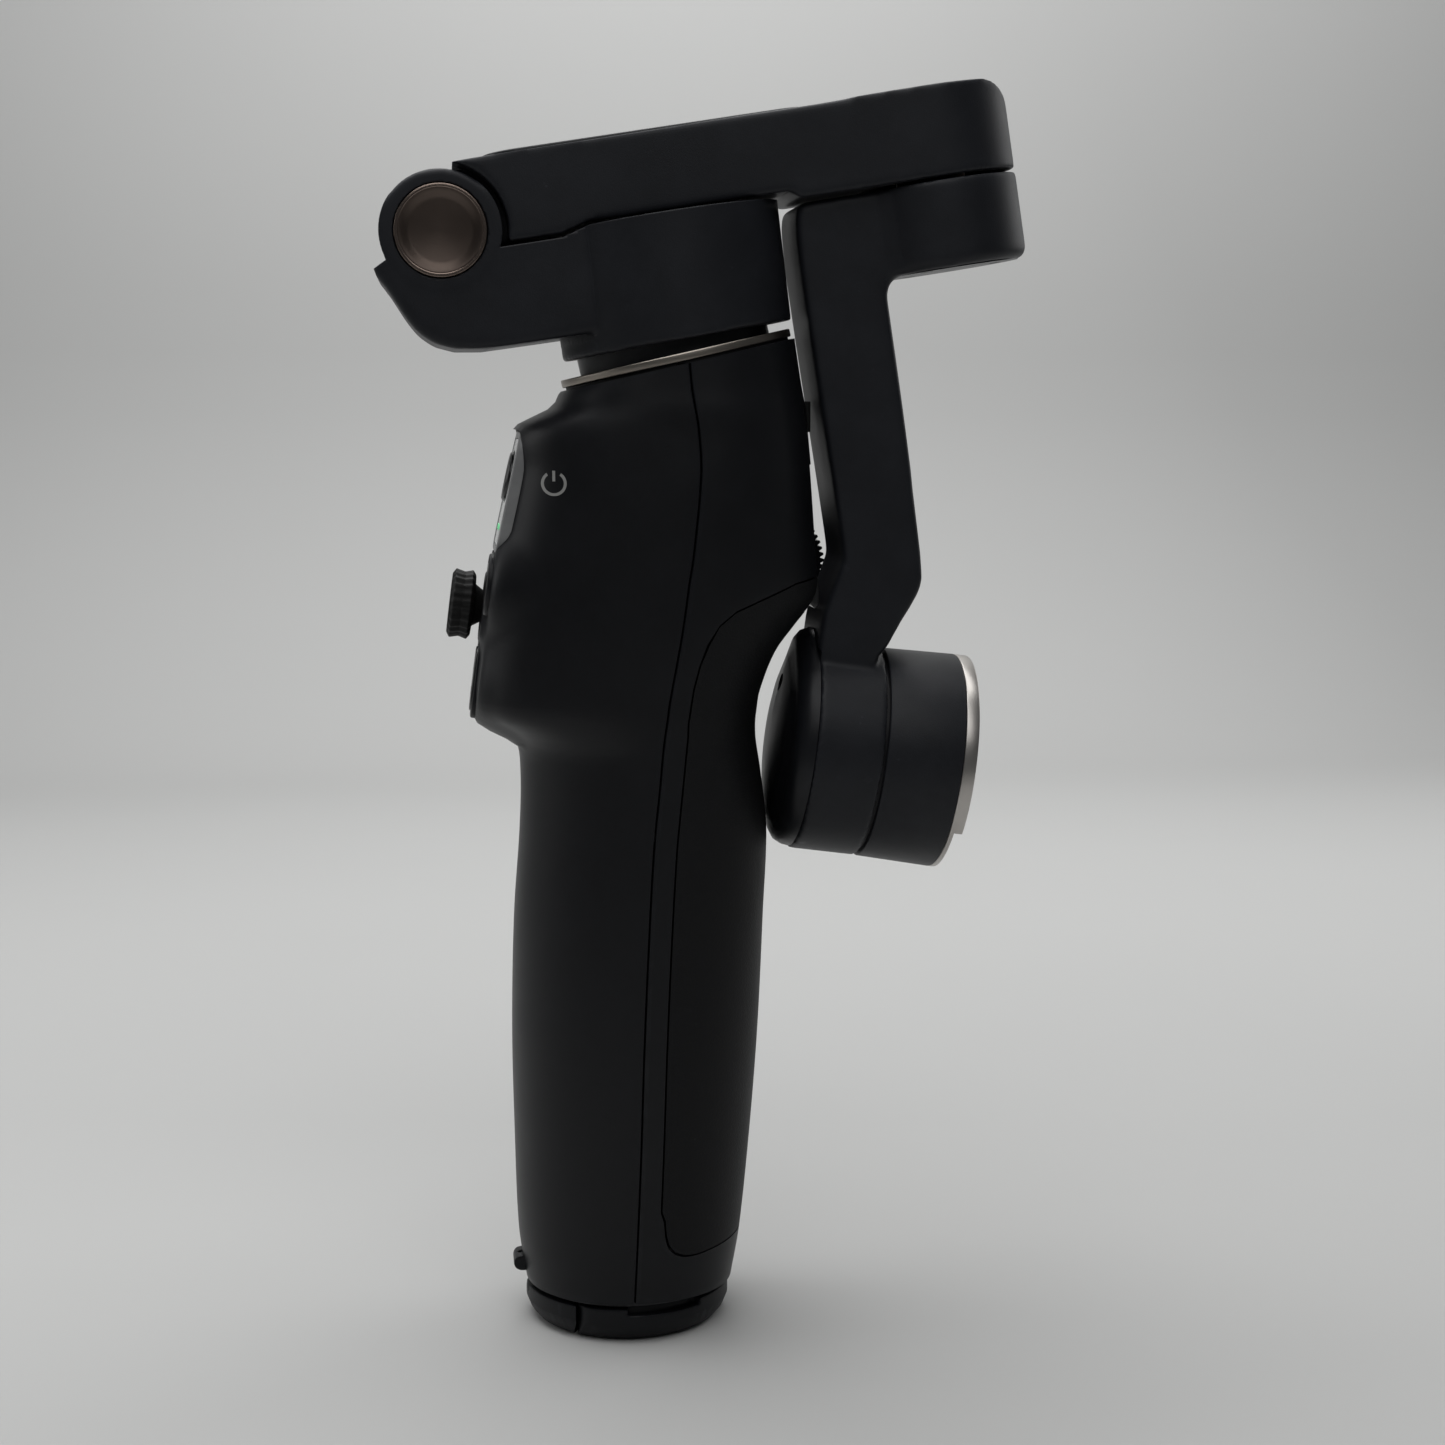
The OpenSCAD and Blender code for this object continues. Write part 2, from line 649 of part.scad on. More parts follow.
// Bracket behind the rod guide: holds the trigger's pin and the wheel's axle
module trigger_frame() {
    web_x = rod_x + guide_r + guide_wall + 0.2;
    color([0.25, 0.25, 0.27]) difference() {
        union() {
            for (side = [-1, 1]) translate([0, side * (frame_y + frame_t / 2), 0])
                side_plate(frame_t / 2) polygon([
                    [web_x, ledge_z + 16], [web_x, trigger_pivot_z + 4], [trigger_pivot_x + 1.2, trigger_pivot_z + 4],
                    [trigger_pivot_x + 1.9, trigger_pivot_z], [wheel_x + 0.4, wheel_z + 6], [wheel_x, wheel_z - 2.6],
                    [web_x + 4, ledge_z + 16]]);
            block([web_x, -frame_y - frame_t, ledge_z + 16], [web_x + 1.2, frame_y + frame_t, trigger_pivot_z + 4]);
            translate([wheel_x, frame_y, wheel_z]) rotate([-90, 0, 0]) cylinder(r = frame_boss_r, h = 3);
        }
        translate([trigger_pivot_x, 0, trigger_pivot_z]) cross_rod(trigger_pin_r, 20);
        translate([wheel_x, frame_y - 1, wheel_z]) rotate([-90, 0, 0]) cylinder(r = axle_r, h = 12);
    }
}

module wheel_axle() {
    color([0.7, 0.7, 0.72]) translate([wheel_x, frame_y, wheel_z]) rotate([-90, 0, 0]) {
        cylinder(r = axle_r, h = wheel_y + wheel_w - frame_y + 0.1);
        translate([0, 0, wheel_y + wheel_w - frame_y + 0.1]) cylinder(r = axle_r + 1.2, h = 0.6);
    }
}

module zoom_wheel() {
    tooth = 360 / wheel_teeth;
    color([0.08, 0.08, 0.08]) translate([wheel_x, wheel_y, wheel_z]) rotate([-90, 0, 0]) difference() {
        linear_extrude(wheel_w) polygon([for (i = [0:wheel_teeth - 1]) each [
            [(wheel_r - 0.6) * cos(i * tooth), (wheel_r - 0.6) * sin(i * tooth)],
            [wheel_r * cos((i + 0.5) * tooth), wheel_r * sin((i + 0.5) * tooth)]]]);
        translate([0, 0, wheel_w - 0.8]) cylinder(r = wheel_r - 2.2, h = 2);
        translate([0, 0, -1]) cylinder(r = axle_r + run_fit, h = wheel_w + 2);
    }
}

// ---------- inside the grip ----------
module battery_cell() {
    color([0.15, 0.35, 0.6]) translate([cell_x, 0, cell_z]) {
        cylinder(r = cell_r, h = cell_len - 1.4);
        cylinder(r = 3, h = cell_len);
    }
}

module battery_cradle() {
    cradle_r = cell_r + 1.3;
    color([0.3, 0.3, 0.32]) difference() {
        union() {
            translate([cell_x, 0, cell_z - 2]) cylinder(r = cradle_r, h = cell_len + 1);
            translate([0, 0, shell_z + plate_t]) cylinder(r = base_r - shell_wall - 0.3, h = cell_z - shell_z - plate_t);
            for (z = [12, cell_len - 8])
                block([cell_x, -8, cell_z + z], [cell_x + cradle_r + 2, 8, cell_z + z + 2]);
        }
        translate([cell_x, 0, cell_z]) cylinder(r = cell_r + 0.05, h = cell_len + 10);
        block([-40, -30, cell_z + 3], [cell_x - 1, 30, cell_z + cell_len + 10]);
        base_screw_shanks();
    }
}

module main_board() {
    board_x = cell_x + cell_r + 1.3 + 2;
    color([0.05, 0.3, 0.2]) {
        block([board_x, -10, cell_z + 4], [board_x + board_t, 10, cell_z + cell_len - 1]);
        for (z = [10, 26, 44])
            block([board_x + board_t, -4, cell_z + z], [board_x + board_t + 1.2, 4, cell_z + z + 8]);
    }
}

usb_x = -5;
usb_z = deck_z + deck_t + 4.8;
usb_y = 9.6;

module usb_shape(gap) {
    translate([usb_x, usb_y, usb_z]) rotate([-90, 0, 0])
        linear_extrude(7.6) round_rect(3.2 + 2 * gap, 9 + 2 * gap, 1.5 + gap);
}

module usb_cut() {
    translate([0, 4, 0]) usb_shape(0.3);
    translate([0, 8, 0]) usb_shape(0.3);
}

module usb_socket() {
    color([0.75, 0.75, 0.77]) {
        difference() {
            usb_shape(0);
            translate([0, 1.2, 0]) usb_shape(-0.4);
        }
        block([usb_x - 0.35, usb_y + 1.2, usb_z - 3.3], [usb_x + 0.35, usb_y + 6, usb_z + 3.3]);
        // Its small board stands on the deck
        block([usb_x + 1.6, usb_y - 0.6, deck_z + deck_t], [usb_x + 2.6, usb_y + 5.4, usb_z + 6]);
    }
}

module base_plate() {
    color([0.2, 0.2, 0.21]) difference() {
        union() {
            translate([0, 0, shell_z]) cylinder(r = base_r - shell_wall - snug, h = plate_t);
            translate([0, 0, shell_z - plate_rim_t]) cylinder(r = base_r - 0.8, h = plate_rim_t);
            translate([0, 0, core_lift]) cylinder(r = leg_inner_r - 2 * leg_gap, h = shell_z);
        }
        at_legs() translate([leg_pin_circle_r, 0, 0]) cylinder(r = leg_pin_r, h = 20);
        translate([0, 0, -1]) cylinder(r = insert_r, h = 20);
        base_screw_shanks();
        at_screws() translate([0, 0, -1]) cylinder(r = 1.6, h = 4);
    }
}

module tripod_insert() {
    color([0.78, 0.65, 0.35]) ring(insert_r, insert_bore_r, 0, shell_z + plate_t);
}

screw_circle_r = 6.9;

module at_screws() {
    for (i = [0:leg_count - 1]) rotate([0, 0, i * leg_turn + 60]) translate([screw_circle_r, 0, 0]) children();
}

module base_screw_shanks() {
    at_screws() cylinder(r = 0.8, h = cell_z - 0.4);
}

module base_screws() {
    color([0.6, 0.6, 0.62]) at_screws() {
        translate([0, 0, 1.6]) cylinder(r = 1.5, h = 1.4);
        translate([0, 0, 3]) cylinder(r = 0.8, h = cell_z - 3.4);
    }
}

module at_legs() {
    for (i = [0:leg_count - 1]) rotate([0, 0, leg_start + i * leg_turn]) children();
}

leg_start = -114;   // where the first leg's pin stands, seen from above

module leg_pins() {
    color([0.7, 0.7, 0.72]) at_legs() translate([leg_pin_circle_r, 0, 0]) {
        translate([0, 0, core_lift - 0.1]) cylinder(r = leg_pin_r + 0.6, h = 0.8);
        translate([0, 0, core_lift]) cylinder(r = leg_pin_r, h = shell_z + plate_t - core_lift);
    }
}

module tripod_leg(i) {
    head_r = base_r - leg_pin_circle_r;
    tip_r = head_r + leg_slit;
    color([0.1, 0.1, 0.11]) rotate([0, 0, leg_start + i * leg_turn]) difference() {
        union() {
            intersection() {
                ring(base_r, leg_inner_r, 0, base_h);
                linear_extrude(base_h) polygon([[0, 0], [40, 0], [40, 40], [-40, 40], [-40, 40 * tan(60)]]);
            }
            intersection() {
                translate([leg_pin_circle_r, 0, 0]) cylinder(r = head_r, h = base_h);
                ring(base_r, leg_inner_r, 0, base_h);
            }
        }
        rotate([0, 0, leg_turn]) translate([leg_pin_circle_r, 0, -1]) cylinder(r = tip_r, h = base_h + 2);
        translate([leg_pin_circle_r, 0, -1]) cylinder(r = leg_pin_r + run_fit, h = base_h + 2);
        translate([leg_pin_circle_r, 0, -1]) cylinder(r = leg_pin_r + 0.9, h = core_lift + 1.9);
        // Finger notch along the top of the leg's outer edge
        rotate([0, 0, 20]) rotate_extrude(angle = 45) translate([base_r - 1.6, base_h - 1]) square([3, 3]);
    }
}

module tripod_leg_a() { tripod_leg(0); }
module tripod_leg_b() { tripod_leg(1); }
module tripod_leg_c() { tripod_leg(2); }

module strap_lug_shape(gap) {
    translate([-base_r + 0.5, 0, shell_z + 2.3]) {
        translate([-2, 0, 0]) cross_rod(1.2 + gap, 2.4 + gap);
        block([-2, -2.4 - gap, -1.2 - gap], [0.6, 2.4 + gap, 1.2 + gap]);
    }
}

module strap_lug() {
    color([0.1, 0.1, 0.1]) difference() {
        strap_lug_shape(0);
        translate([-base_r - 1.5, 0, shell_z]) cylinder(r = 0.5, h = 6);
    }
}

module rest_bumper_shape(gap) {
    bump_z = ledge_z + 48.7;
    translate([skin_value(bump_z, 3) - 1.2, 0, bump_z])
        block([0, -3 - gap, -2.3 - gap], [1.7 + gap, 3 + gap, 2.3 + gap]);
}

module rest_bumper() {
    color([0.05, 0.05, 0.05]) rest_bumper_shape(0);
}

// ---------- extension rod ----------
module rod_guide() {
    color([0.3, 0.3, 0.32]) difference() {
        union() {
            translate([rod_x, 0, deck_z]) cylinder(r = guide_r + guide_wall, h = pan_z - deck_z + flange_r);
            translate([deck_x, 0, deck_z]) cylinder(r = waist_rear - shell_wall - deck_gap - deck_x, h = deck_t);
            in_pan_frame() translate([0, 0, shell_top - 2.4]) cylinder(r = flange_r - shell_wall, h = 2.4);
        }
        in_pan_frame() translate([-60, -60, shell_top]) cube([120, 120, 100]);
        translate([rod_x, 0, deck_z + deck_t]) cylinder(r = guide_r, h = head_len + grip_len);
    }
}

module rod_outer_tube() {
    color([0.75, 0.75, 0.77]) difference() {
        translate([rod_x, 0, rod_z]) cylinder(r = rod_r, h = 90);
        translate([rod_x, 0, rod_z + 1.2]) cylinder(r = inner_rod_r + run_fit, h = 200);
        in_pan_frame() translate([-60, -60, shell_top]) cube([120, 120, 100]);
    }
}

module rod_inner_tube() {
    color([0.75, 0.75, 0.77]) difference() {
        translate([rod_x, 0, rod_z + 2]) cylinder(r = inner_rod_r, h = 90);
        translate([rod_x, 0, rod_z + 1]) cylinder(r = inner_rod_r - rod_wall, h = 200);
        in_pan_frame() translate([-60, -60, 0]) cube([120, 120, 100]);
    }
}

// ---------- motors ----------
// Wound core: a ring with slots
module motor_core(outer_r, z0, z1) {
    slots = 12;
    difference() {
        ring(outer_r, hub_r, z0, z1);
        for (i = [0:slots - 1]) rotate([0, 0, 360 * i / slots])
            block([hub_r + 1.4, -0.5, z0 - 1], [outer_r + 1, 0.5, z1 + 1]);
    }
}

module motor_bearings(z0, z1) {
    for (z = [z0, z1 - 2]) ring(bearing_r, shaft_r + run_fit, z, z + 2);
}

module motor_magnets(bore_r, z0, z1) {
    ring(bore_r, bore_r - magnet_t, z0, z1);
}

module head_flange() {
    color([0.72, 0.66, 0.58]) in_pan_frame() ring(flange_r, shaft_r + 1, 0, flange_t);
}

module pan_collar() {
    color([0.08, 0.08, 0.09]) in_pan_frame() difference() {
        union() {
            translate([0, 0, flange_t]) cylinder(r = pan_bore_r + 0.9, h = pan_floor - flange_t);
            translate([0, 0, pan_floor]) cylinder(r = hub_r, h = 8.6);
        }
        translate([0, 0, flange_t + 1.2]) cylinder(r = bearing_r, h = 20);
        cylinder(r = shaft_r + 0.5, h = 20);
    }
}

module pan_core() {
    color([0.7, 0.4, 0.2]) in_pan_frame()
        motor_core(pan_bore_r - magnet_t - air_gap, pan_floor + 0.6, pan_floor + 7);
}

module pan_bearings() {
    color([0.7, 0.7, 0.72]) in_pan_frame() motor_bearings(flange_t + 1.2, pan_floor + 8.6);
}

module pan_magnets() {
    color([0.6, 0.6, 0.63]) in_pan_frame() motor_magnets(pan_bore_r, pan_floor + 0.6, pan_floor + 7);
}

// Outside of the pan motor housing: leans a little less than the pan axis
module pan_barrel() {
    intersection() {
        translate([pan_x + 0.1, 0, barrel_z]) rotate([0, -barrel_lean, 0]) translate([0, 0, -pan_r])
            cylinder(r = pan_r, h = 4 * pan_r);
        translate([pan_x + 0.1, 0, barrel_z + 0.1]) rotate([0, -barrel_cut, 0])
            translate([-2 * pan_r, -2 * pan_r, 0]) cube(4 * pan_r);
        in_arm_frame() side_plate(2 * pan_r) polygon([[-2 * pan_r, pan_arm_top], [step_x0 + 0.2, pan_arm_top],
            [step_x1 + 0.2, pan_arm_top + arm_relief], [4 * pan_r, pan_arm_top + arm_relief],
            [4 * pan_r, -4 * pan_r], [-2 * pan_r, -4 * pan_r]]);
    }
}

// Side view of the pan arm from the stop lip to the motor housing
module pan_arm_side() {
    polygon(concat(
        [[-cheek_r - 1.5, -3.9], [-cheek_r - 1.3, -4.9], [-cheek_r, -7.4], [-cheek_r + 1.5, -11],
            [-cheek_r + 3, -13.6], [-cheek_r + 5, -15.5], [-cheek_r + 8, -16.8], [-cheek_r + 12, pan_arm_floor + 0.2]],
        [[-hinge_x - cheek_r, pan_arm_floor], [-hinge_x, pan_arm_floor - 1.6],
            [-hinge_x, pan_arm_top + arm_relief], [step_x1 + 0.2, pan_arm_top + arm_relief], [step_x0 + 0.2, pan_arm_top], [0, pan_arm_top],
            [-cheek_r + 0.5, -2.9]]));
}

module pan_arm_casting() {
    color([0.09, 0.09, 0.1]) difference() {
        union() {
            pan_barrel();
            intersection() {
                in_arm_frame() side_plate(arm_half) pan_arm_side();
                // Plan view: widens from the hinge to the motor housing
                linear_extrude(2 * hinge_z) polygon([[2 * hinge_x, -arm_half], [hinge_x / 2, -arm_half], [0, -pan_r + 1.5],
                    [0, pan_r - 1.5], [hinge_x / 2, arm_half], [2 * hinge_x, arm_half]]);
            }
            in_arm_frame() cross_rod(cheek_r, arm_half);
        }
        in_arm_frame() {
            cross_rod(arc_r - 0.7, barrel_half + 0.3);
            block([-12, -barrel_half - 0.3, arm_under - 0.5], [16, barrel_half + 0.3, 20]);
            cross_rod(fold_pin_r, arm_half - cap_depth);
            for (side = [-1, 1]) translate([0, side * (arm_half - cap_depth + 2), 0]) cross_rod(cap_r + snug, 2);
            // Seat of the cover
            pan_cover_shape(snug);
        }
        in_pan_frame() {
            translate([0, 0, pan_floor + 0.4]) cylinder(r = pan_bore_r, h = pan_top - pan_floor - 0.4);
            translate([0, 0, -5]) cylinder(r = pan_bore_r + 1.3, h = pan_floor + 5.4);
        }
    }
    // Motor shaft
    color([0.7, 0.7, 0.72]) in_pan_frame() translate([0, 0, flange_t + 1.4])
        cylinder(r = shaft_r, h = pan_top - flange_t - 1.4);
}

pan_cover_t = 1.1;

module pan_cover_shape(gap) {
    translate([pan_x - hinge_x - 0.5, 0, pan_arm_top + arm_relief - pan_cover_t - gap])
        cylinder(r = pan_bore_r - 1.6 + gap, h = pan_cover_t + gap + small);
}

module pan_cover() {
    color([0.12, 0.12, 0.13]) in_arm_frame() difference() {
        pan_cover_shape(0);
        for (x = [-8, 8])
            translate([pan_x - hinge_x - 0.5 + x, 0, pan_arm_top + arm_relief - 0.5]) cylinder(r = 1.2, h = 3);
    }
}

// ---------- fold hinge ----------
module fold_pin() {
    color([0.7, 0.7, 0.72]) in_arm_frame() cross_rod(fold_pin_r, arm_half - cap_depth);
}

// Dished cap on one side of the hinge
module hinge_cap(side) {
    color([0.35, 0.28, 0.24]) in_arm_frame() rotate([side * 90, 0, 0]) translate([0, 0, arm_half - cap_depth])
        rotate_extrude() polygon([[0, 0], [cap_r, 0], [cap_r, 1.5], [cap_r - 0.4, 1.9], [cap_r - 1, 1.9],
            [cap_r - 1.9, 1.2], [0, 1]]);
}

module hinge_cap_right() { hinge_cap(1); }
module hinge_cap_left() { hinge_cap(-1); }

// ---------- fold arm ----------
module fold_arm_side() {
    polygon(concat(
        arc(0, 0, arc_r, -18, 74, 12),
        [[fold_len - 17, arm_top], [fold_len - 9, cap_top]],
        arc(fold_len + tilt_r - 5.5, cap_top - 5.5, 5.5, 88, 0, 8),
        [[fold_len + tilt_r, arm_under], [stem_x0 + 1.2, arm_under], [stem_x0 - 0.4, arm_under + arm_relief],
            [step_x1, arm_under + arm_relief], [step_x0, arm_under]]));
}

// Plan view shared by the fold arm's shell
module fold_arm_plan() {
    translate([fold_len, 0]) circle(r = tilt_r);
    polygon([[0, -arm_half], [8, -arm_half], [24, -arm_half + 0.8], [fold_len - 12, -arm_half + 0.8],
        [fold_len, -tilt_r], [fold_len, tilt_r], [fold_len - 12, arm_half - 0.8], [24, arm_half - 0.8],
        [8, arm_half], [0, arm_half]]);
}

module fold_arm_shell() {
    color([0.09, 0.09, 0.1]) in_arm_frame() difference() {
        union() {
            intersection() {
                side_plate(20) fold_arm_side();
                translate([0, 0, -20]) linear_extrude(60) fold_arm_plan();
            }
            cross_rod(arc_r - 1.1, barrel_half);
            block([0, -barrel_half, arm_under], [12, barrel_half, arm_top - 1.4]);
            translate([fold_len, 0, can_bottom + end_plate_t + 3.6]) cylinder(r = hub_r, h = tilt_h);
        }
        cross_rod(fold_pin_r + run_fit, 20);
        block([15, -cover_half + 1.5, arm_under + 2], [cover_x1 - 3, cover_half - 1.5, arm_top + 1]);
        fold_arm_cover_shape(snug);
        difference() {
            translate([fold_len, 0, arm_under - 1]) cylinder(r = tilt_bore_r, h = 8.6);
            translate([fold_len, 0, arm_under - 2]) cylinder(r = hub_r, h = 20);
        }
        translate([fold_len, 0, can_bottom]) cylinder(r = bearing_r, h = tilt_h + 5);
        translate([fold_len, 0, can_bottom]) cylinder(r = shaft_r + 0.5, h = tilt_h + 8);
    }
}

module fold_arm_cover_shape(gap) {
    translate([(cover_x0 + cover_x1) / 2, 0, arm_top - cover_t - gap]) linear_extrude(cover_t + 0.25 + gap)
        round_rect(cover_x1 - cover_x0 + 2 * gap, 2 * cover_half + 2 * gap, 5);
}

module fold_arm_cover() {
    color([0.07, 0.07, 0.08]) in_arm_frame() fold_arm_cover_shape(0);
}

module arm_flex_board() {
    color([0.6, 0.35, 0.1]) in_arm_frame()
        block([16, -4, arm_under + 2], [cover_x1 - 5, 4, arm_under + 2.4]);
}

module in_tilt_frame() {
    in_arm_frame() translate([fold_len, 0, 0]) children();
}

tilt_core_z0 = can_bottom + end_plate_t + 3.8;
tilt_core_z1 = arm_under - 0.8;

module tilt_core() {
    color([0.7, 0.4, 0.2]) in_tilt_frame()
        motor_core(tilt_bore_r - magnet_t - air_gap, tilt_core_z0, tilt_core_z1);
}

module tilt_bearings() {
    color([0.7, 0.7, 0.72]) in_tilt_frame() motor_bearings(tilt_core_z0, arm_under + 5);
}

module tilt_magnets() {
    color([0.6, 0.6, 0.63]) in_tilt_frame() motor_magnets(tilt_bore_r, tilt_core_z0, can_top - 0.4);
}

// ---------- tilt arm ----------

module tilt_arm_side() {
    polygon(concat(
        [[stem_x0 + 3, can_top], [stem_x0 + 0.6, can_top - 2.4], [stem_x0, can_top - 12]],
        [[stem_x0, can_top - 50.2], [stem_x0 - 1, can_top - 53.7], [stem_x0 - 3.2, can_top - 58.2],
            [stem_x0 - 5.2, can_top - 63]],
        [[roll_x + 2, roll_z + 8], [roll_x + 3, roll_z + 15]],
        [[stem_x1 - 8, can_top - 67.4], [stem_x1 - 5.3, can_top - 63.9], [stem_x1 - 2.6, can_top - 60.8],
            [stem_x1 - 1.2, can_top - 58.6], [stem_x1 - 0.6, can_top - 55.2]],
        arc(stem_x1 + 2.6, can_bottom - 2.6, 2.6, 180, 90, 5),
        [[fold_len + tilt_r + 1, can_bottom], [fold_len + tilt_r + 1, can_top]]));
}

// Plan view of the arm, its front edge moved forward by reach
module stem_plan(corner, reach) {
    for (y = [-1, 1]) translate([stem_x0 - reach + corner, y * (stem_half - corner)]) circle(r = corner);
    translate([stem_x0 - reach, -stem_half + corner]) square([stem_depth + reach, 2 * (stem_half - corner)]);
    translate([stem_x0 - reach + corner, -stem_half]) square([stem_depth + reach - corner, 2 * stem_half]);
}

// Plan view of the top: round motor behind the narrower arm
module tilt_arm_plan() {
    translate([fold_len, 0]) circle(r = tilt_r);
    stem_plan(6, 0);
    polygon([[stem_x0 + 6, -stem_half], [stem_x1, -stem_half], [fold_len, -tilt_r],
        [fold_len, tilt_r], [stem_x1, stem_half], [stem_x0 + 6, stem_half]]);
}

// Round back of the roll motor, drawn up into the foot of the arm; x points down
module roll_foot(r) {
    circle(r = r);
    polygon([[0, -r], [-roll_foot_up, -foot_half], [-roll_foot_up, foot_half], [0, r]]);
    translate([-roll_foot_up, 0]) circle(r = foot_half);
}

module tilt_arm_shell() {
    color([0.09, 0.09, 0.1]) difference() {
        union() {
            in_arm_frame() intersection() {
                side_plate(2 * tilt_r) tilt_arm_side();
                translate([0, 0, -2 * stem_len]) linear_extrude(2 * stem_len) tilt_arm_plan();
            }
            // Swept forward over the roll motor, in two steps: front reach, bottom and height
            for (step = [[3.2, can_top - 63.5, 13], [5.2, roll_z, roll_z_to_foot]]) in_arm_frame() intersection() {
                side_plate(2 * tilt_r) tilt_arm_side();
                translate([0, 0, step[1]]) linear_extrude(step[2]) stem_plan(7, step[0]);
            }
            in_roll_frame() translate([0, 0, -roll_can_len]) {
                cylinder(r = roll_r, h = roll_can_len - seam);
                linear_extrude(3.4) roll_foot(roll_r);
            }
        }
        in_tilt_frame() {
            translate([0, 0, can_bottom + end_plate_t + 1.6]) cylinder(r = tilt_bore_r, h = 30);
            translate([0, 0, can_bottom - 1]) cylinder(r = tilt_r - 1.3, h = end_plate_t + 1);
        }
        in_roll_frame() {
            translate([0, 0, -roll_can_len + 1.8]) cylinder(r = roll_bore_r, h = 20);
            translate([0, 0, -roll_can_len - 20]) cylinder(r = roll_r + 1, h = 20);
            translate([0, 0, -roll_can_len - 1]) cylinder(r = bearing_r, h = 20);
        }
    }
    color([0.7, 0.7, 0.72]) in_tilt_frame() translate([0, 0, can_bottom + end_plate_t])
        cylinder(r = shaft_r, h = arm_under + 4 - can_bottom - end_plate_t);
    color([0.3, 0.3, 0.3]) in_roll_frame() ring(hub_r, bearing_r, -roll_can_len, 5);
}

module tilt_end_plate() {
    color([0.11, 0.11, 0.12]) in_tilt_frame() difference() {
        translate([0, 0, can_bottom]) cylinder(r = tilt_r - 1.3 - snug, h = end_plate_t);
        for (i = [0:2]) rotate([0, 0, 120 * i]) translate([8, 0, can_bottom - 1]) cylinder(r = 1, h = 1.6);
    }
}

roll_core_z0 = -3;
roll_core_z1 = 4.6;
dome_t = 5;
cup_flare = 0.4;         // the cup widens a little towards the plate
plate_step = 1.3;        // the plate is thinner by this much on its lower side

module roll_core() {
    color([0.7, 0.4, 0.2]) in_roll_frame()
        motor_core(roll_bore_r - magnet_t - air_gap, roll_core_z0, roll_core_z1);
}

module roll_bearings() {
    color([0.7, 0.7, 0.72]) in_roll_frame() motor_bearings(-roll_can_len, 5);
}

module roll_back_cover() {
    steps = [[0, 0.4], [1.9, 2.2], [3.3, 4.6], [4.3, 8.2], [dome_t, 12.4]];
    color([0.08, 0.08, 0.09]) in_roll_frame() difference() {
        mirror([0, 0, 1]) translate([0, 0, roll_can_len]) {
            rotate_extrude() polygon(concat([[0, 0]], [for (s = steps) [roll_r - s[1], s[0]]], [[0, dome_t]]));
            // Lobe that runs up into the foot of the arm
            translate([-roll_foot_up, 0, 0]) cylinder(r1 = foot_half - 0.4, r2 = foot_half - 2.8, h = 2.4);
            linear_extrude(2.4, scale = 0.84) polygon([[0, 0.4 - roll_r], [-roll_foot_up, 0.4 - foot_half],
                [-roll_foot_up, foot_half - 0.4], [0, roll_r - 0.4]]);
        }
        translate([0, 0, -roll_can_len - 2]) cylinder(r = roll_bore_r - 3, h = 4);
        // Screw recess on the upper half
        translate([-9, 0, -roll_can_len - 12]) cylinder(r = 1.4, h = 9);
    }
}

// ---------- roll head ----------
module roll_cup() {
    color([0.1, 0.1, 0.11]) in_roll_frame() difference() {
        cylinder(r1 = roll_r, r2 = roll_r + cup_flare, h = roll_cup_len);
        translate([0, 0, -1]) cylinder(r = roll_bore_r, h = roll_cup_len - 0.8);
    }
    color([0.7, 0.7, 0.72]) in_roll_frame() translate([0, 0, -roll_can_len + 0.4])
        cylinder(r = shaft_r, h = roll_can_len + roll_cup_len - 2);
}

module roll_magnets() {
    color([0.6, 0.6, 0.63]) in_roll_frame() motor_magnets(roll_bore_r, seam, roll_core_z1 + 1.4);
}

module clamp_plate() {
    color([0.75, 0.72, 0.68]) in_roll_frame() difference() {
        translate([0, 0, roll_cup_len]) cylinder(r = roll_r + cup_flare, h = clamp_t);
        block([0.57 * roll_r, -2 * roll_r, roll_cup_len + clamp_t - plate_step],
            [2 * roll_r, 2 * roll_r, roll_cup_len + 2 * clamp_t]);
        translate([0, 0, roll_cup_len + clamp_t - 0.8]) ring(roll_r - 4, roll_r - 5.2, 0, 2);
    }
}

front_shell();
rear_shell();
rear_grip();
control_panel();
status_window();
control_board();
main_board();
battery_cell();
battery_cradle();
usb_socket();
rod_guide();
trigger_frame();
trigger_pin();
wheel_axle();
joystick_socket();
base_plate();
tripod_insert();
leg_pins();
base_screws();
strap_lug();
rest_bumper();
rod_outer_tube();
rod_inner_tube();
head_flange();
pan_collar();
pan_core();
pan_bearings();
pan_arm_casting();
pan_magnets();
pan_cover();
fold_pin();
hinge_cap_right();
hinge_cap_left();
fold_arm_shell();
fold_arm_cover();
arm_flex_board();
tilt_core();
tilt_bearings();
tilt_arm_shell();
tilt_end_plate();
tilt_magnets();
roll_core();
roll_bearings();
roll_back_cover();
roll_cup();
roll_magnets();
clamp_plate();
joystick_yoke();
joystick_stem();
joystick_cap();
mode_button();
record_button();
switch_button();
trigger();
zoom_wheel();
tripod_leg_a();
tripod_leg_b();
tripod_leg_c();
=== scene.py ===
"""Finishes and fine shapes of a folded phone gimbal that stands on its closed tripod base."""
import json
import math

import bmesh
import bpy
from bpy.props import FloatProperty, FloatVectorProperty, IntProperty, PointerProperty
from mathutils import Matrix, Vector


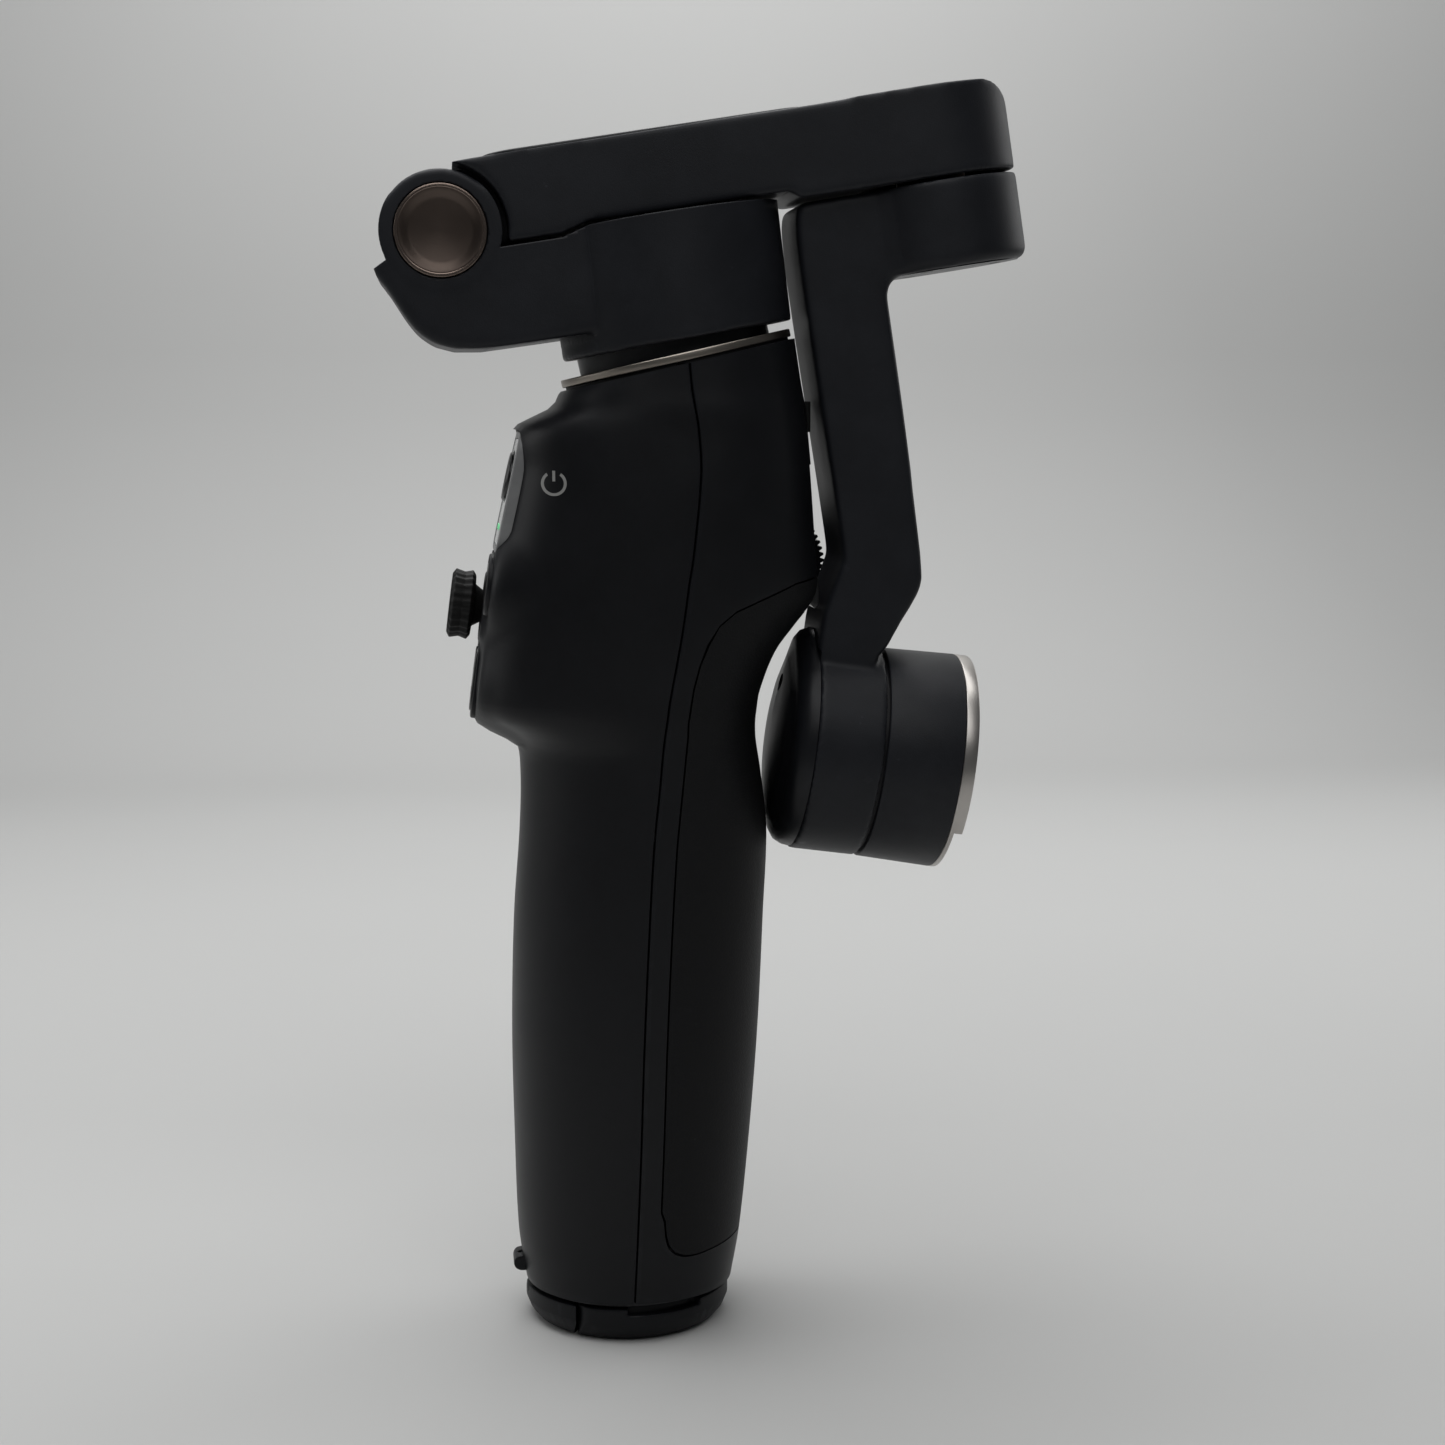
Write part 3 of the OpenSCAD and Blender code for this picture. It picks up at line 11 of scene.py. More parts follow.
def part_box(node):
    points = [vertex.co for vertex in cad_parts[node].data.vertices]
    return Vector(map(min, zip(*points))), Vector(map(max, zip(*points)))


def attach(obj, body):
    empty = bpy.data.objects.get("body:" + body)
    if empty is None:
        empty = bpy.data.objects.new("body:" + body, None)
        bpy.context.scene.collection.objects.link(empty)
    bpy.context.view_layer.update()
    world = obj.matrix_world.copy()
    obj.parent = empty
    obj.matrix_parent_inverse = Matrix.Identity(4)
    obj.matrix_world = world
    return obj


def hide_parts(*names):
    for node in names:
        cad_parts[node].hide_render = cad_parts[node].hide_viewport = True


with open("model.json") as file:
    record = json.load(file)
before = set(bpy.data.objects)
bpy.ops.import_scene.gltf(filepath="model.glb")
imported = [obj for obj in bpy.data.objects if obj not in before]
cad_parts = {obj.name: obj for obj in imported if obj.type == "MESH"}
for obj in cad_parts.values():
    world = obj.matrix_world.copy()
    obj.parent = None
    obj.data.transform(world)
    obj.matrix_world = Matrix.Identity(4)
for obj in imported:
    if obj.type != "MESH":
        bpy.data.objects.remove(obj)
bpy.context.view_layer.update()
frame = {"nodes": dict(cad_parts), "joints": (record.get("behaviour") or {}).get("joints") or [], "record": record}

bl_info = {
    "name": "Folding phone gimbal",
    "version": (1, 0, 0),
    "blender": (4, 5, 0),
    "location": "View3D > Sidebar > Gimbal",
    "description": "Models and finishes the outside of a folding phone gimbal around its packed construction",
    "category": "Object",
}

MM = 0.001
JOINTS = {joint["name"]: joint for joint in frame["joints"]}
SLOT_OF = {part["node"]: part["material_slot"] for part in frame["record"]["subparts"]}


# ---------- frames, in metres ----------
def turned(origin, z_axis):
    """Frame at origin with its z along z_axis and its y along the row's y."""
    z = Vector(z_axis).normalized()
    y = Vector((0, 1, 0))
    x = y.cross(z)
    return Matrix.Translation(Vector(origin)) @ Matrix((x, y, z)).transposed().to_4x4()


def moved(frame_matrix, x, y=0.0, z=0.0):
    """The frame, shifted along its own axes by millimetres."""
    return frame_matrix @ Matrix.Translation(Vector((x, y, z)) * MM)


def pivot(joint):
    return Vector(JOINTS[joint]["pos_m"])


def axis(joint):
    return Vector(JOINTS[joint]["axis"])


def box_centre(node):
    low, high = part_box(node)
    return (low + high) / 2


WORLD = Matrix.Identity(4)
SIDE = Matrix.Rotation(math.radians(90), 4, "X")            # z points out of the near side
FAR_SIDE = Matrix.Rotation(math.radians(-90), 4, "X")
PAN = turned(pivot("pan_turn"), axis("pan_turn"))
ARM = turned(pivot("arm_fold"), axis("tilt_turn"))
ROLL = turned(pivot("roll_turn"), axis("roll_turn"))
# The pan housing leans 7 degrees, and is cut off below along a plane that leans 10.5
BARREL = turned(Vector((8.3, 0, 150.4)) * MM, (-0.12187, 0, 0.99255))
BARREL_CUT = turned(Vector((8.3, 0, 150.5)) * MM, (-0.18224, 0, 0.98325))
PANEL_OUT = -axis("mode_press")
PANEL_RISE = 0.8        # from the middle of the panel's box to its face
PANEL = turned(box_centre("control_panel") + PANEL_OUT * PANEL_RISE * MM, PANEL_OUT)
PLATE_W, PLATE_H = 18.4, 20.6
MODE = moved(PANEL, 2.3)
FACE_OUT = -axis("record_press")
STICK_DEPTH = 5.6       # from the joystick's pivot to the face it stands on
RECORD_AT, SWITCH_AT = (4.2, -11.5), (-10.4, -7)      # from the joystick's foot
STICK = turned(pivot("joystick_lift") + FACE_OUT * STICK_DEPTH * MM, FACE_OUT)
RECORD = moved(STICK, *RECORD_AT)
SWITCH = moved(STICK, *SWITCH_AT)
WHEEL = Matrix.Translation(pivot("wheel_spin")) @ FAR_SIDE
USB = Matrix.Translation(Vector((-5 * MM, 14 * MM, box_centre("usb_socket").z - 0.9 * MM))) @ FAR_SIDE


# ---------- sizes and colours that a user would change ----------
class HandleSizes(bpy.types.PropertyGroup):
    """Sizes of the handle's skin."""

    columns: IntProperty(name="Columns", description="Columns of faces on each half of the skin", default=60, min=24)
    row_height: FloatProperty(
        name="Row height", description="Height of a row of faces", default=1.1 * MM, unit="LENGTH")
    wall: FloatProperty(name="Wall", description="Thickness of the shells", default=1.6 * MM, unit="LENGTH")
    seam: FloatProperty(name="Seam", description="Half the gap between the shells", default=0.1 * MM, unit="LENGTH")
    groove: FloatProperty(
        name="Grip groove", description="Gap around the soft grip", default=0.28 * MM, unit="LENGTH")


class CoverSizes(bpy.types.PropertyGroup):
    """How soft the edges of the moulded and cast covers are."""

    voxel: FloatProperty(
        name="Voxel", description="Cell of the remeshed arms and housings", default=0.4 * MM, unit="LENGTH")
    passes: IntProperty(name="Passes", description="Smoothing passes on the arms", default=7, min=1)


class FinishColours(bpy.types.PropertyGroup):
    """Colours of the main finishes."""

    shell: FloatVectorProperty(
        name="Shell", description="Satin black of the handle", subtype="COLOR", default=(0.0062, 0.0067, 0.0085))
    grip: FloatVectorProperty(
        name="Grip", description="Soft grip at the back", subtype="COLOR", default=(0.0095, 0.0097, 0.0108))
    # The arms' colour is partly their paint's own tone and partly painted light: it was made lighter for the light
    # that falls on the arms from above.
    arm: FloatVectorProperty(
        name="Arm", description="Fine satin paint of the arms", subtype="COLOR", default=(0.0165, 0.0178, 0.022))
    panel: FloatVectorProperty(
        name="Panel", description="Light control panel", subtype="COLOR", default=(0.3, 0.302, 0.305))
    bronze: FloatVectorProperty(
        name="Bronze", description="Hinge caps", subtype="COLOR", default=(0.105, 0.082, 0.07))
    champagne: FloatVectorProperty(
        name="Champagne", description="Metal flange under the pan motor", subtype="COLOR",
        default=(0.36, 0.325, 0.285))
    plate: FloatVectorProperty(
        name="Plate", description="Clamp plate on the roll motor", subtype="COLOR", default=(0.5, 0.475, 0.45))


class StageSizes(bpy.types.PropertyGroup):
    """The floor, its backdrop and the lights."""

    floor_colour: FloatVectorProperty(
        name="Floor colour", description="Pale floor and backdrop", subtype="COLOR", default=(0.64, 0.642, 0.634))
    bounce: FloatProperty(
        name="Bounce", description="Share of the floor's colour that lights the object", default=0.4, min=0, max=1)
    reach: FloatProperty(name="Reach", description="Depth of the floor behind", default=0.55, unit="LENGTH")
    world: FloatProperty(name="World", description="Strength of the light all around", default=0.06, min=0)
    key: FloatProperty(name="Key", description="Power of the lamp above, in watts", default=3.0, min=0)
    side: FloatProperty(name="Side", description="Power of the side lamps, in watts", default=0.5, min=0)
    high: FloatProperty(name="High", description="Power of the wide lamp high in front", default=0.4, min=0)
    backdrop: FloatProperty(name="Backdrop", description="Power of the backdrop's own lamp", default=3.2, min=0)


# ---------- materials ----------
WAVE_BAND = 0.314       # what the Wave node's bands measure at a scale of 1, in metres


class Num:
    """A number that varies over a surface. Python's operators on it add Math nodes."""

    def __init__(self, finish, socket):
        self.finish = finish
        self.socket = socket

    def math(self, operation, first, second):
        node = self.finish.add("ShaderNodeMath", {"operation": operation}, {0: first, 1: second})
        return Num(self.finish, node.outputs[0])

    def __add__(self, other):
        return self.math("ADD", self, other)

    __radd__ = __add__

    def __sub__(self, other):
        return self.math("SUBTRACT", self, other)

    def __rsub__(self, other):
        return self.math("SUBTRACT", other, self)

    def __mul__(self, other):
        return self.math("MULTIPLY", self, other)

    __rmul__ = __mul__

    def step(self, low, high):
        """0 below low, 1 above high and smooth between them."""
        settings = {"interpolation_type": "SMOOTHSTEP"}
        node = self.finish.add("ShaderNodeMapRange", settings, {"Value": self, "From Min": low, "From Max": high})
        return Num(self.finish, node.outputs["Result"])


class Finish:
    """One material, built around a Principled shader."""

    def __init__(self, name, **constants):
        self.material = bpy.data.materials.new(name)
        self.material.use_nodes = True
        self.tree = self.material.node_tree
        self.tree.nodes.clear()
        self.shader = self.add("ShaderNodeBsdfPrincipled")
        self.add("ShaderNodeOutputMaterial", {}, {"Surface": self.shader.outputs[0]})
        self.place = self.add("ShaderNodeTexCoord").outputs["Object"]
        for socket, value in constants.items():
            self.shader.inputs[socket.replace("_", " ")].default_value = value

    def add(self, kind, settings=None, inputs=None):
        """Adds a node: its settings first, then the values or links of its sockets."""
        node = self.tree.nodes.new(kind)
        for key, value in (settings or {}).items():
            setattr(node, key, value)
        for key, value in (inputs or {}).items():
            value = getattr(value, "socket", value)
            if isinstance(value, bpy.types.NodeSocket):
                self.tree.links.new(value, node.inputs[key])
            else:
                node.inputs[key].default_value = value
        return node

    def mapped(self, scale=(1, 1, 1), shift=(0, 0, 0), turn=(0, 0, 0)):
        inputs = {"Vector": self.place, "Location": shift, "Rotation": turn, "Scale": scale}
        return self.add("ShaderNodeMapping", {}, inputs).outputs[0]

    def noise(self, size, detail=2.0, rough=0.5, place=None):
        """Cloudy noise whose blotches are about size millimetres across."""
        inputs = {"Vector": place or self.place, "Scale": 1 / (size * MM), "Detail": detail, "Roughness": rough}
        return Num(self, self.add("ShaderNodeTexNoise", {}, inputs).outputs[0])

    def cells(self, size):
        """Distance from the middle of cells about size millimetres across."""
        inputs = {"Vector": self.place, "Scale": 1 / (size * MM)}
        return Num(self, self.add("ShaderNodeTexVoronoi", {}, inputs).outputs["Distance"])

    def waves(self, size, settings, distortion, place=None):
        """Bands or rings that repeat about every size millimetres."""
        inputs = {"Vector": place or self.place, "Scale": WAVE_BAND / (size * MM), "Distortion": distortion}
        return Num(self, self.add("ShaderNodeTexWave", settings, inputs).outputs["Fac"])

    def mix(self, factor, first, second):
        """Mixed colour."""
        rgba = [(*c, 1.0) if isinstance(c, tuple) and len(c) == 3 else c for c in (first, second)]
        node = self.add("ShaderNodeMix", {"data_type": "RGBA"}, {0: factor, 6: rgba[0], 7: rgba[1]})
        return node.outputs[2]

    def use(self, socket, value):
        self.tree.links.new(getattr(value, "socket", value), self.shader.inputs[socket])

    def done(self, base, roughness, height=None, depth=0.0):
        """The material, with its colour, its roughness and its relief, which is depth millimetres high."""
        self.use("Base Color", base)
        self.use("Roughness", roughness)
        if height is not None:
            self.use("Normal", self.add("ShaderNodeBump", {}, {"Height": height, "Distance": depth * MM}).outputs[0])
        return self.material


def shade(colour, factor):
    return tuple(min(1.0, c * factor) for c in colour)


def moulded(name, colour, roughness, grain, depth, wear, dust):
    """Moulded or painted cover: fine grain, cloudy sheen, rubbed edges and a little dust."""
    finish = Finish(name, IOR=1.47, Specular_IOR_Level=0.3)
    pointiness = Num(finish, finish.add("ShaderNodeNewGeometry").outputs["Pointiness"])
    clouds = finish.noise(9, 4.0, 0.6)
    specks = finish.cells(1.7).step(0.16, 0.05) * finish.noise(6).step(0.6, 0.75)
    rubbed = pointiness.step(0.515, 0.56) * finish.noise(2.5, 3.0).step(0.35, 0.7)
    base = finish.mix(clouds.step(0.3, 0.75), shade(colour, 0.86), shade(colour, 1.14))
    base = finish.mix(rubbed * wear, base, shade(colour, 2.4))
    base = finish.mix(specks * dust, base, shade(colour, 5.0))
    sheen = roughness - 0.06 + clouds * 0.12 + specks * 0.2 - rubbed * 0.08
    return finish.done(base, sheen, finish.noise(grain, 3.0, 0.6), depth)


def rubber(name, colour, roughness, pebble, depth):
    """Soft-touch rubber with small pebbles and pale handling marks."""
    finish = Finish(name, IOR=1.42, Specular_IOR_Level=0.28)
    pebbles = finish.cells(pebble)
    fine = finish.noise(pebble * 0.45)
    marks = finish.noise(7, 5.0, 0.65, finish.mapped((1, 1, 0.35))).step(0.52, 0.78)
    lint = finish.cells(2.3).step(0.12, 0.04) * finish.noise(5).step(0.62, 0.72)
    base = finish.mix(marks, shade(colour, 0.9), shade(colour, 1.3))
    base = finish.mix(lint * 0.35, base, shade(colour, 6.0))
    sheen = roughness + marks * 0.1 - pebbles * 0.08
    return finish.done(base, sheen, (1 - pebbles) * 0.8 + fine * 0.2, depth)


def turned_metal(name, colour, roughness, centre):
    """Metal with fine turning lines around the axis of a frame."""
    finish = Finish(name, Metallic=1.0)
    inverse = centre.inverted()
    place = finish.mapped(shift=tuple(inverse.to_translation()), turn=tuple(inverse.to_euler()))
    lines = finish.waves(0.12, {"wave_type": "RINGS", "rings_direction": "Z"}, 0.4, place)
    smudge = finish.noise(8, 5.0, 0.6).step(0.5, 0.8)
    base = finish.mix(finish.noise(4, 3.0), shade(colour, 0.88), shade(colour, 1.1))
    base = finish.mix(smudge * 0.25, base, shade(colour, 0.7))
    return finish.done(base, roughness + lines * 0.06 + smudge * 0.12, lines, 0.004)


def plain_metal(name, colour, roughness, grain=0.3, stretch=(1, 1, 1)):
    """Ground or plated metal."""
    finish = Finish(name, Metallic=1.0)
    grinding = finish.noise(grain, 3.0, 0.6, finish.mapped(stretch))
    stain = finish.noise(3, 4.0).step(0.45, 0.8)
    base = finish.mix(stain, colour, shade(colour, 0.75))
    return finish.done(base, roughness + grinding * 0.1 + stain * 0.08, grinding, 0.006)


def glossy(name, colour, roughness, coat=0.0):
    """Smooth moulded plastic with faint fingerprints."""
    finish = Finish(name, IOR=1.5, Coat_Weight=coat, Coat_Roughness=0.08)
    prints = finish.waves(0.5, {"wave_type": "RINGS"}, 6.0) * finish.noise(5).step(0.5, 0.7)
    film = finish.noise(3, 4.0)
    base = finish.mix(film, shade(colour, 0.92), shade(colour, 1.08))
    return finish.done(base, roughness + prints * 0.1 + film * 0.06, finish.noise(0.6), 0.003)


def windings(name):
    """Copper turns around the teeth of a motor's core."""
    finish = Finish(name, Metallic=1.0)
    turns = finish.waves(0.35, {"wave_type": "BANDS", "bands_direction": "DIAGONAL"}, 1.5)
    base = finish.mix(finish.noise(1.2, 3.0), (0.5, 0.2, 0.08), (0.75, 0.36, 0.18))
    return finish.done(base, 0.3 + turns * 0.2, turns, 0.06)


def circuit(name):
    """Green circuit board with tracks and pads."""
    finish = Finish(name, IOR=1.5)
    brick = finish.add("ShaderNodeTexBrick", {"offset": 0.5}, {
        "Vector": finish.mapped(turn=(0.0, math.pi / 2, 0.3)),
        "Scale": 1 / (5 * MM), "Mortar Size": 0.04,
        "Color1": (0.0, 0.0, 0.0, 1), "Color2": (0.15, 0.15, 0.15, 1), "Mortar": (1, 1, 1, 1)})
    tracks = Num(finish, brick.outputs["Fac"])
    pads = finish.cells(2.2).step(0.22, 0.18)
    base = finish.mix(tracks, (0.01, 0.09, 0.035), (0.02, 0.17, 0.06))
    finish.use("Metallic", pads * 0.9)
    return finish.done(
        finish.mix(pads, base, (0.6, 0.5, 0.25)), 0.35 + finish.noise(2) * 0.15, tracks + pads, 0.03)


def wrapped_cell(name):
    """Shrink-wrapped battery cell with a lighter band at each end."""
    finish = Finish(name, IOR=1.5)
    low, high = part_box("battery_cell")
    position = finish.add("ShaderNodeSeparateXYZ", {}, {"Vector": finish.place})
    height = Num(finish, position.outputs["Z"])
    ends = height.step(high.z - 3 * MM, high.z - 2.5 * MM) + height.step(low.z + 2.5 * MM, low.z + 2 * MM)
    wrinkles = finish.noise(1.5, 3.0, 0.5, finish.mapped((1, 1, 0.2)))
    base = finish.mix(wrinkles, (0.02, 0.08, 0.22), (0.03, 0.12, 0.3))
    return finish.done(finish.mix(ends, base, (0.3, 0.3, 0.3)), 0.25 + wrinkles * 0.15, wrinkles, 0.05)


def glowing(name, colour, strength):
    """Small indicator lamp behind milky plastic."""
    finish = Finish(name, Emission_Strength=strength, IOR=1.45)
    milk = finish.noise(0.4)
    finish.use("Emission Color", finish.mix(milk, shade(colour, 0.9), colour))
    return finish.done(finish.mix(milk, shade(colour, 0.8), colour), 0.3 + milk * 0.1)


def stage_finish(name, colour, bounce):
    """Matt pale sheet of the floor and backdrop."""
    finish = Finish(name, Specular_IOR_Level=0.12)
    clouds = finish.noise(120, 3.0)
    ray = finish.add("ShaderNodeLightPath").outputs
    seen = Num(finish, ray["Is Camera Ray"]) + Num(finish, ray["Is Glossy Ray"])
    seen = seen + Num(finish, ray["Is Transmission Ray"])
    pale = finish.mix(clouds, shade(colour, 0.985), shade(colour, 1.015))
    return finish.done(finish.mix(seen, shade(colour, bounce), pale), 0.8 + clouds * 0.05)


def make_finishes(colours):
    """Every finish, by the record's material slot or by its own name."""
    arm, bronze = tuple(colours.arm), tuple(colours.bronze)
    steel = (0.56, 0.56, 0.58)
    recipes = {
        # colour, roughness, size and depth of the grain, wear, dust
        "shell_black": (moulded, tuple(colours.shell), 0.43, 0.16, 0.012, 0.35, 0.3),
        "leg_black": (moulded, tuple(colours.shell), 0.5, 0.2, 0.016, 0.6, 0.5),
        # arm_black and cover_black (0.55 of it) take the arms' colour, which is lightened in part as painted light
        # from above
        "arm_black": (moulded, arm, 0.47, 0.22, 0.02, 0.3, 0.25),
        "cover_black": (moulded, shade(arm, 0.55), 0.4, 0.15, 0.01, 0.3, 0.2),
        "inner_plastic": (moulded, (0.05, 0.05, 0.053), 0.5, 0.3, 0.02, 0.2, 0.0),
        "panel_grey": (moulded, tuple(colours.panel), 0.38, 0.15, 0.006, 0.1, 0.0),
        # colour, roughness, size and depth of the pebbles
        "grip_rubber": (rubber, tuple(colours.grip), 0.62, 0.34, 0.03),
        "stick_rubber": (rubber, (0.014, 0.014, 0.014), 0.55, 0.2, 0.012),
        # colour, roughness, clear coat
        "window": (glossy, (0.55, 0.56, 0.57), 0.16, 0.5),
        "button_black": (glossy, (0.012, 0.012, 0.0125), 0.28, 0.2),
        "mark_white": (glossy, (0.36, 0.36, 0.35), 0.4),
        "mark_red": (glossy, (0.45, 0.02, 0.015), 0.35),
        # colour, roughness, frame of the turning
        "bronze_cap": (turned_metal, bronze, 0.36, ARM @ SIDE),
        # the rims' bronze is 2.6 times lighter and smoother than the caps': a painted highlight on their bevel
        "bronze_edge": (turned_metal, shade(bronze, 2.6), 0.2, ARM @ SIDE),
        "champagne": (turned_metal, tuple(colours.champagne), 0.28, PAN),
        "plate_silver": (turned_metal, tuple(colours.plate), 0.3, ROLL),
        "insert_brass": (turned_metal, (0.6, 0.44, 0.18), 0.26, WORLD),
        # colour, roughness, size and stretch of the grinding
        "rod_metal": (plain_metal, (0.6, 0.6, 0.62), 0.2, 0.25, (1, 1, 0.05)),
        "pin_steel": (plain_metal, steel, 0.28),
        "socket_steel": (plain_metal, steel, 0.24),
        "magnet": (plain_metal, (0.42, 0.42, 0.44), 0.3),
        "copper": (windings,),
        "board": (circuit,),
        "cell_wrap": (wrapped_cell,),
        "lamp_green": (glowing, (0.2, 0.75, 0.35), 0.5),
    }
    return {name: kind(name, *values) for name, (kind, *values) in recipes.items()}


FINISHES = {}


# ---------- making pieces ----------
def linked(name, data):
    """Object of the scene that shows a mesh, a light or a camera."""
    obj = bpy.data.objects.new(name, data)
    bpy.context.scene.collection.objects.link(obj)
    return obj


def new_object(name, bm):
    mesh = bpy.data.meshes.new(name)
    bmesh.ops.recalc_face_normals(bm, faces=bm.faces)
    bm.to_mesh(mesh)
    bm.free()
    return linked(name, mesh)


def mesh_of(obj):
    """The object's mesh for more modelling; the object itself is removed."""
    bm = bmesh.new()
    bm.from_mesh(obj.data)
    bpy.data.objects.remove(obj)
    return bm


def modify(obj, kind, **settings):
    """Gives the object a modifier."""
    step = obj.modifiers.new(kind.lower(), kind)
    for key, value in settings.items():
        setattr(step, key, value)


def bake_modifiers(obj):
    """Turns the object's modifiers into its mesh."""
    graph = bpy.context.evaluated_depsgraph_get()
    mesh = bpy.data.meshes.new_from_object(obj.evaluated_get(graph))
    obj.modifiers.clear()
    obj.data = mesh


def carve(obj, cutter, operation="DIFFERENCE"):
    """Cuts another object out of this one, or keeps what the two share."""
    modify(obj, "BOOLEAN", operation=operation, solver="EXACT", object=cutter)
    bake_modifiers(obj)
    bpy.data.objects.remove(cutter)


def cut(obj, *shapes):
    """Cuts closed shapes out of an object."""
    for shape in shapes:
        carve(obj, new_object("cutter", shape))


def dress(obj, finish, body, *stands_for, slot=None, angle=35):
    """Gives a finished piece its finish and its body; edges sharper than angle stay crisp. Its slot is not used."""
    slot = slot or finish
    obj.data.materials.clear()
    obj.data.materials.append(FINISHES[finish])
    obj.data.shade_smooth()
    obj.data.set_sharp_from_angle(angle=math.radians(angle))
    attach(obj, body)
    if stands_for:
        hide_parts(*stands_for)


def piece(name, bm, finish, body, *stands_for, cuts=(), **options):
    """Makes a finished piece of a closed shape, less the shapes that are cut out of it."""
    obj = new_object(name, bm)
    cut(obj, *cuts)
    dress(obj, finish, body, *stands_for, **options)


def settle(bm, place, edge, angle, segments):
    """Rounds every edge sharper than angle and puts the shape into its frame."""
    bmesh.ops.recalc_face_normals(bm, faces=bm.faces)
    if edge > 0:
        limit = math.radians(angle)
        edges = [e for e in bm.edges if len(e.link_faces) == 2 and e.calc_face_angle(0) > limit]
        bmesh.ops.bevel(
            bm, geom=edges, offset=edge * MM, segments=segments, profile=0.5, affect="EDGES", material=-1,
            clamp_overlap=True)
    bmesh.ops.transform(bm, matrix=place, verts=bm.verts)
    return bm


# The shapes' outlines and profiles are in millimetres
def prism(outline, low, high, place, edge=0.0, segments=3):
    """Straight solid with an outline in x and y, from low to high."""
    bm = bmesh.new()
    floor = bm.faces.new([bm.verts.new((x * MM, y * MM, low * MM)) for x, y in outline])
    top = bmesh.ops.extrude_face_region(bm, geom=[floor])["geom"]
    rising = [v for v in top if isinstance(v, bmesh.types.BMVert)]
    bmesh.ops.translate(bm, verts=rising, vec=(0, 0, (high - low) * MM))
    return settle(bm, place, edge, 30, segments)


def cylinder(radius, low, high, place, steps=48, edge=0.0):
    return prism(arc(0, 0, radius, 0, 360, steps)[:-1], low, high, place, edge)


def slab(width, depth, radius, low, high, place, edge=0.0, steps=8):
    """Straight solid over a centred rectangle with round corners."""
    x, y = width / 2 - radius, depth / 2 - radius
    outline = arc(x, y, radius, 0, 90, steps) + arc(-x, y, radius, 90, 180, steps)
    outline += arc(-x, -y, radius, 180, 270, steps) + arc(x, -y, radius, 270, 360, steps)
    return prism(outline, low, high, place, edge)


def lathe(profile, place, edge, steps, segments=3):
    """Solid of revolution about z: the profile's points are radius and height."""
    bm = bmesh.new()
    line = [bm.verts.new((r * MM, 0, z * MM)) for r, z in profile]
    edges = [bm.edges.new(pair) for pair in zip(line, line[1:])]
    bmesh.ops.spin(
        bm, geom=line + edges, cent=(0, 0, 0), axis=(0, 0, 1), angle=2 * math.pi, steps=steps, use_merge=True)
    bmesh.ops.remove_doubles(bm, verts=bm.verts, dist=1e-7)
    return settle(bm, place, edge, 25, segments)


def washer(inner, outer, low, high):
    """Profile of a ring, for lathe."""
    return [(inner, low), (outer, low), (outer, high), (inner, high), (inner, low)]


def disc(radius, first, last):
    """Profile of a disc between two heights, for lathe."""
    return [(0, first), (radius, first), (radius, last), (0, last)]


def turned_piece(name, profile, place, edge, steps, *rest, **options):
    """Makes a finished solid of revolution; the rest is what dress takes."""
    piece(name, lathe(profile, place, edge, steps), *rest, **options)


def arc(x, y, radius, start, end, steps):
    """Points of an arc between two angles in degrees."""
    turns = [math.radians(start + (end - start) * i / steps) for i in range(steps + 1)]
    return [(x + radius * math.cos(a), y + radius * math.sin(a)) for a in turns]


def curve(points, steps):
    """Points of a smooth line through the given ones."""
    line = [points[0], *points, points[-1]]
    smooth = []
    for quad in zip(line, line[1:], line[2:], line[3:]):
        for i in range(steps):
            t = i / steps
            smooth.append(tuple(
                0.5 * (2 * q + (r - p) * t + (2 * p - 5 * q + 4 * r - s) * t * t + (3 * q - p - 3 * r + s) * t**3)
                for p, q, r, s in zip(*quad)))
    return smooth + [points[-1]]


def teardrop(radius, lobe, reach):
    """Round outline drawn up towards -x: a circle and a smaller one whose centre lies reach away."""
    half = math.degrees(math.acos((radius - lobe) / reach))
    wide = arc(0, 0, radius, half - 180, 180 - half, 72)
    return wide + arc(-reach, 0, lobe, 180 - half, 180 + half, 24)


def loft(rings, place):
    """Closed solid through outlines of as many points, each given as height and outline."""
    bm = bmesh.new()
    loops = [[bm.verts.new((x * MM, y * MM, z * MM)) for x, y in outline] for z, outline in rings]
    edges = [[bm.edges.new(pair) for pair in zip(loop, loop[1:] + loop[:1])] for loop in loops]
    for low, high in zip(edges, edges[1:]):
        bmesh.ops.bridge_loops(bm, edges=low + high)
    bm.faces.new(loops[0])
    bm.faces.new(loops[-1])
    bmesh.ops.transform(bm, matrix=place, verts=bm.verts)
    return bm


def shared(first, second):
    """What two solids have in common."""
    obj = new_object("shape", first)
    carve(obj, new_object("cutter", second), "INTERSECT")
    return mesh_of(obj)


def round_off(obj, voxel, passes, place, inset=0.0):
    """Rounds every edge and crease of a closed piece; the cells are laid along a frame."""
    obj.data.transform(place.inverted())
    modify(obj, "REMESH", mode="VOXEL", voxel_size=voxel)
    modify(obj, "SMOOTH", factor=0.5, iterations=passes)
    if inset:
        modify(obj, "DISPLACE", mid_level=0, strength=-inset * MM)
    bake_modifiers(obj)
    obj.data.transform(place)
    return obj


def rounded(bm, covers, strength):
    """A shape of the arms with its edges rounded strength times as much as the covers' own."""
    return mesh_of(round_off(new_object("shape", bm), covers.voxel, strength * covers.passes, ARM))


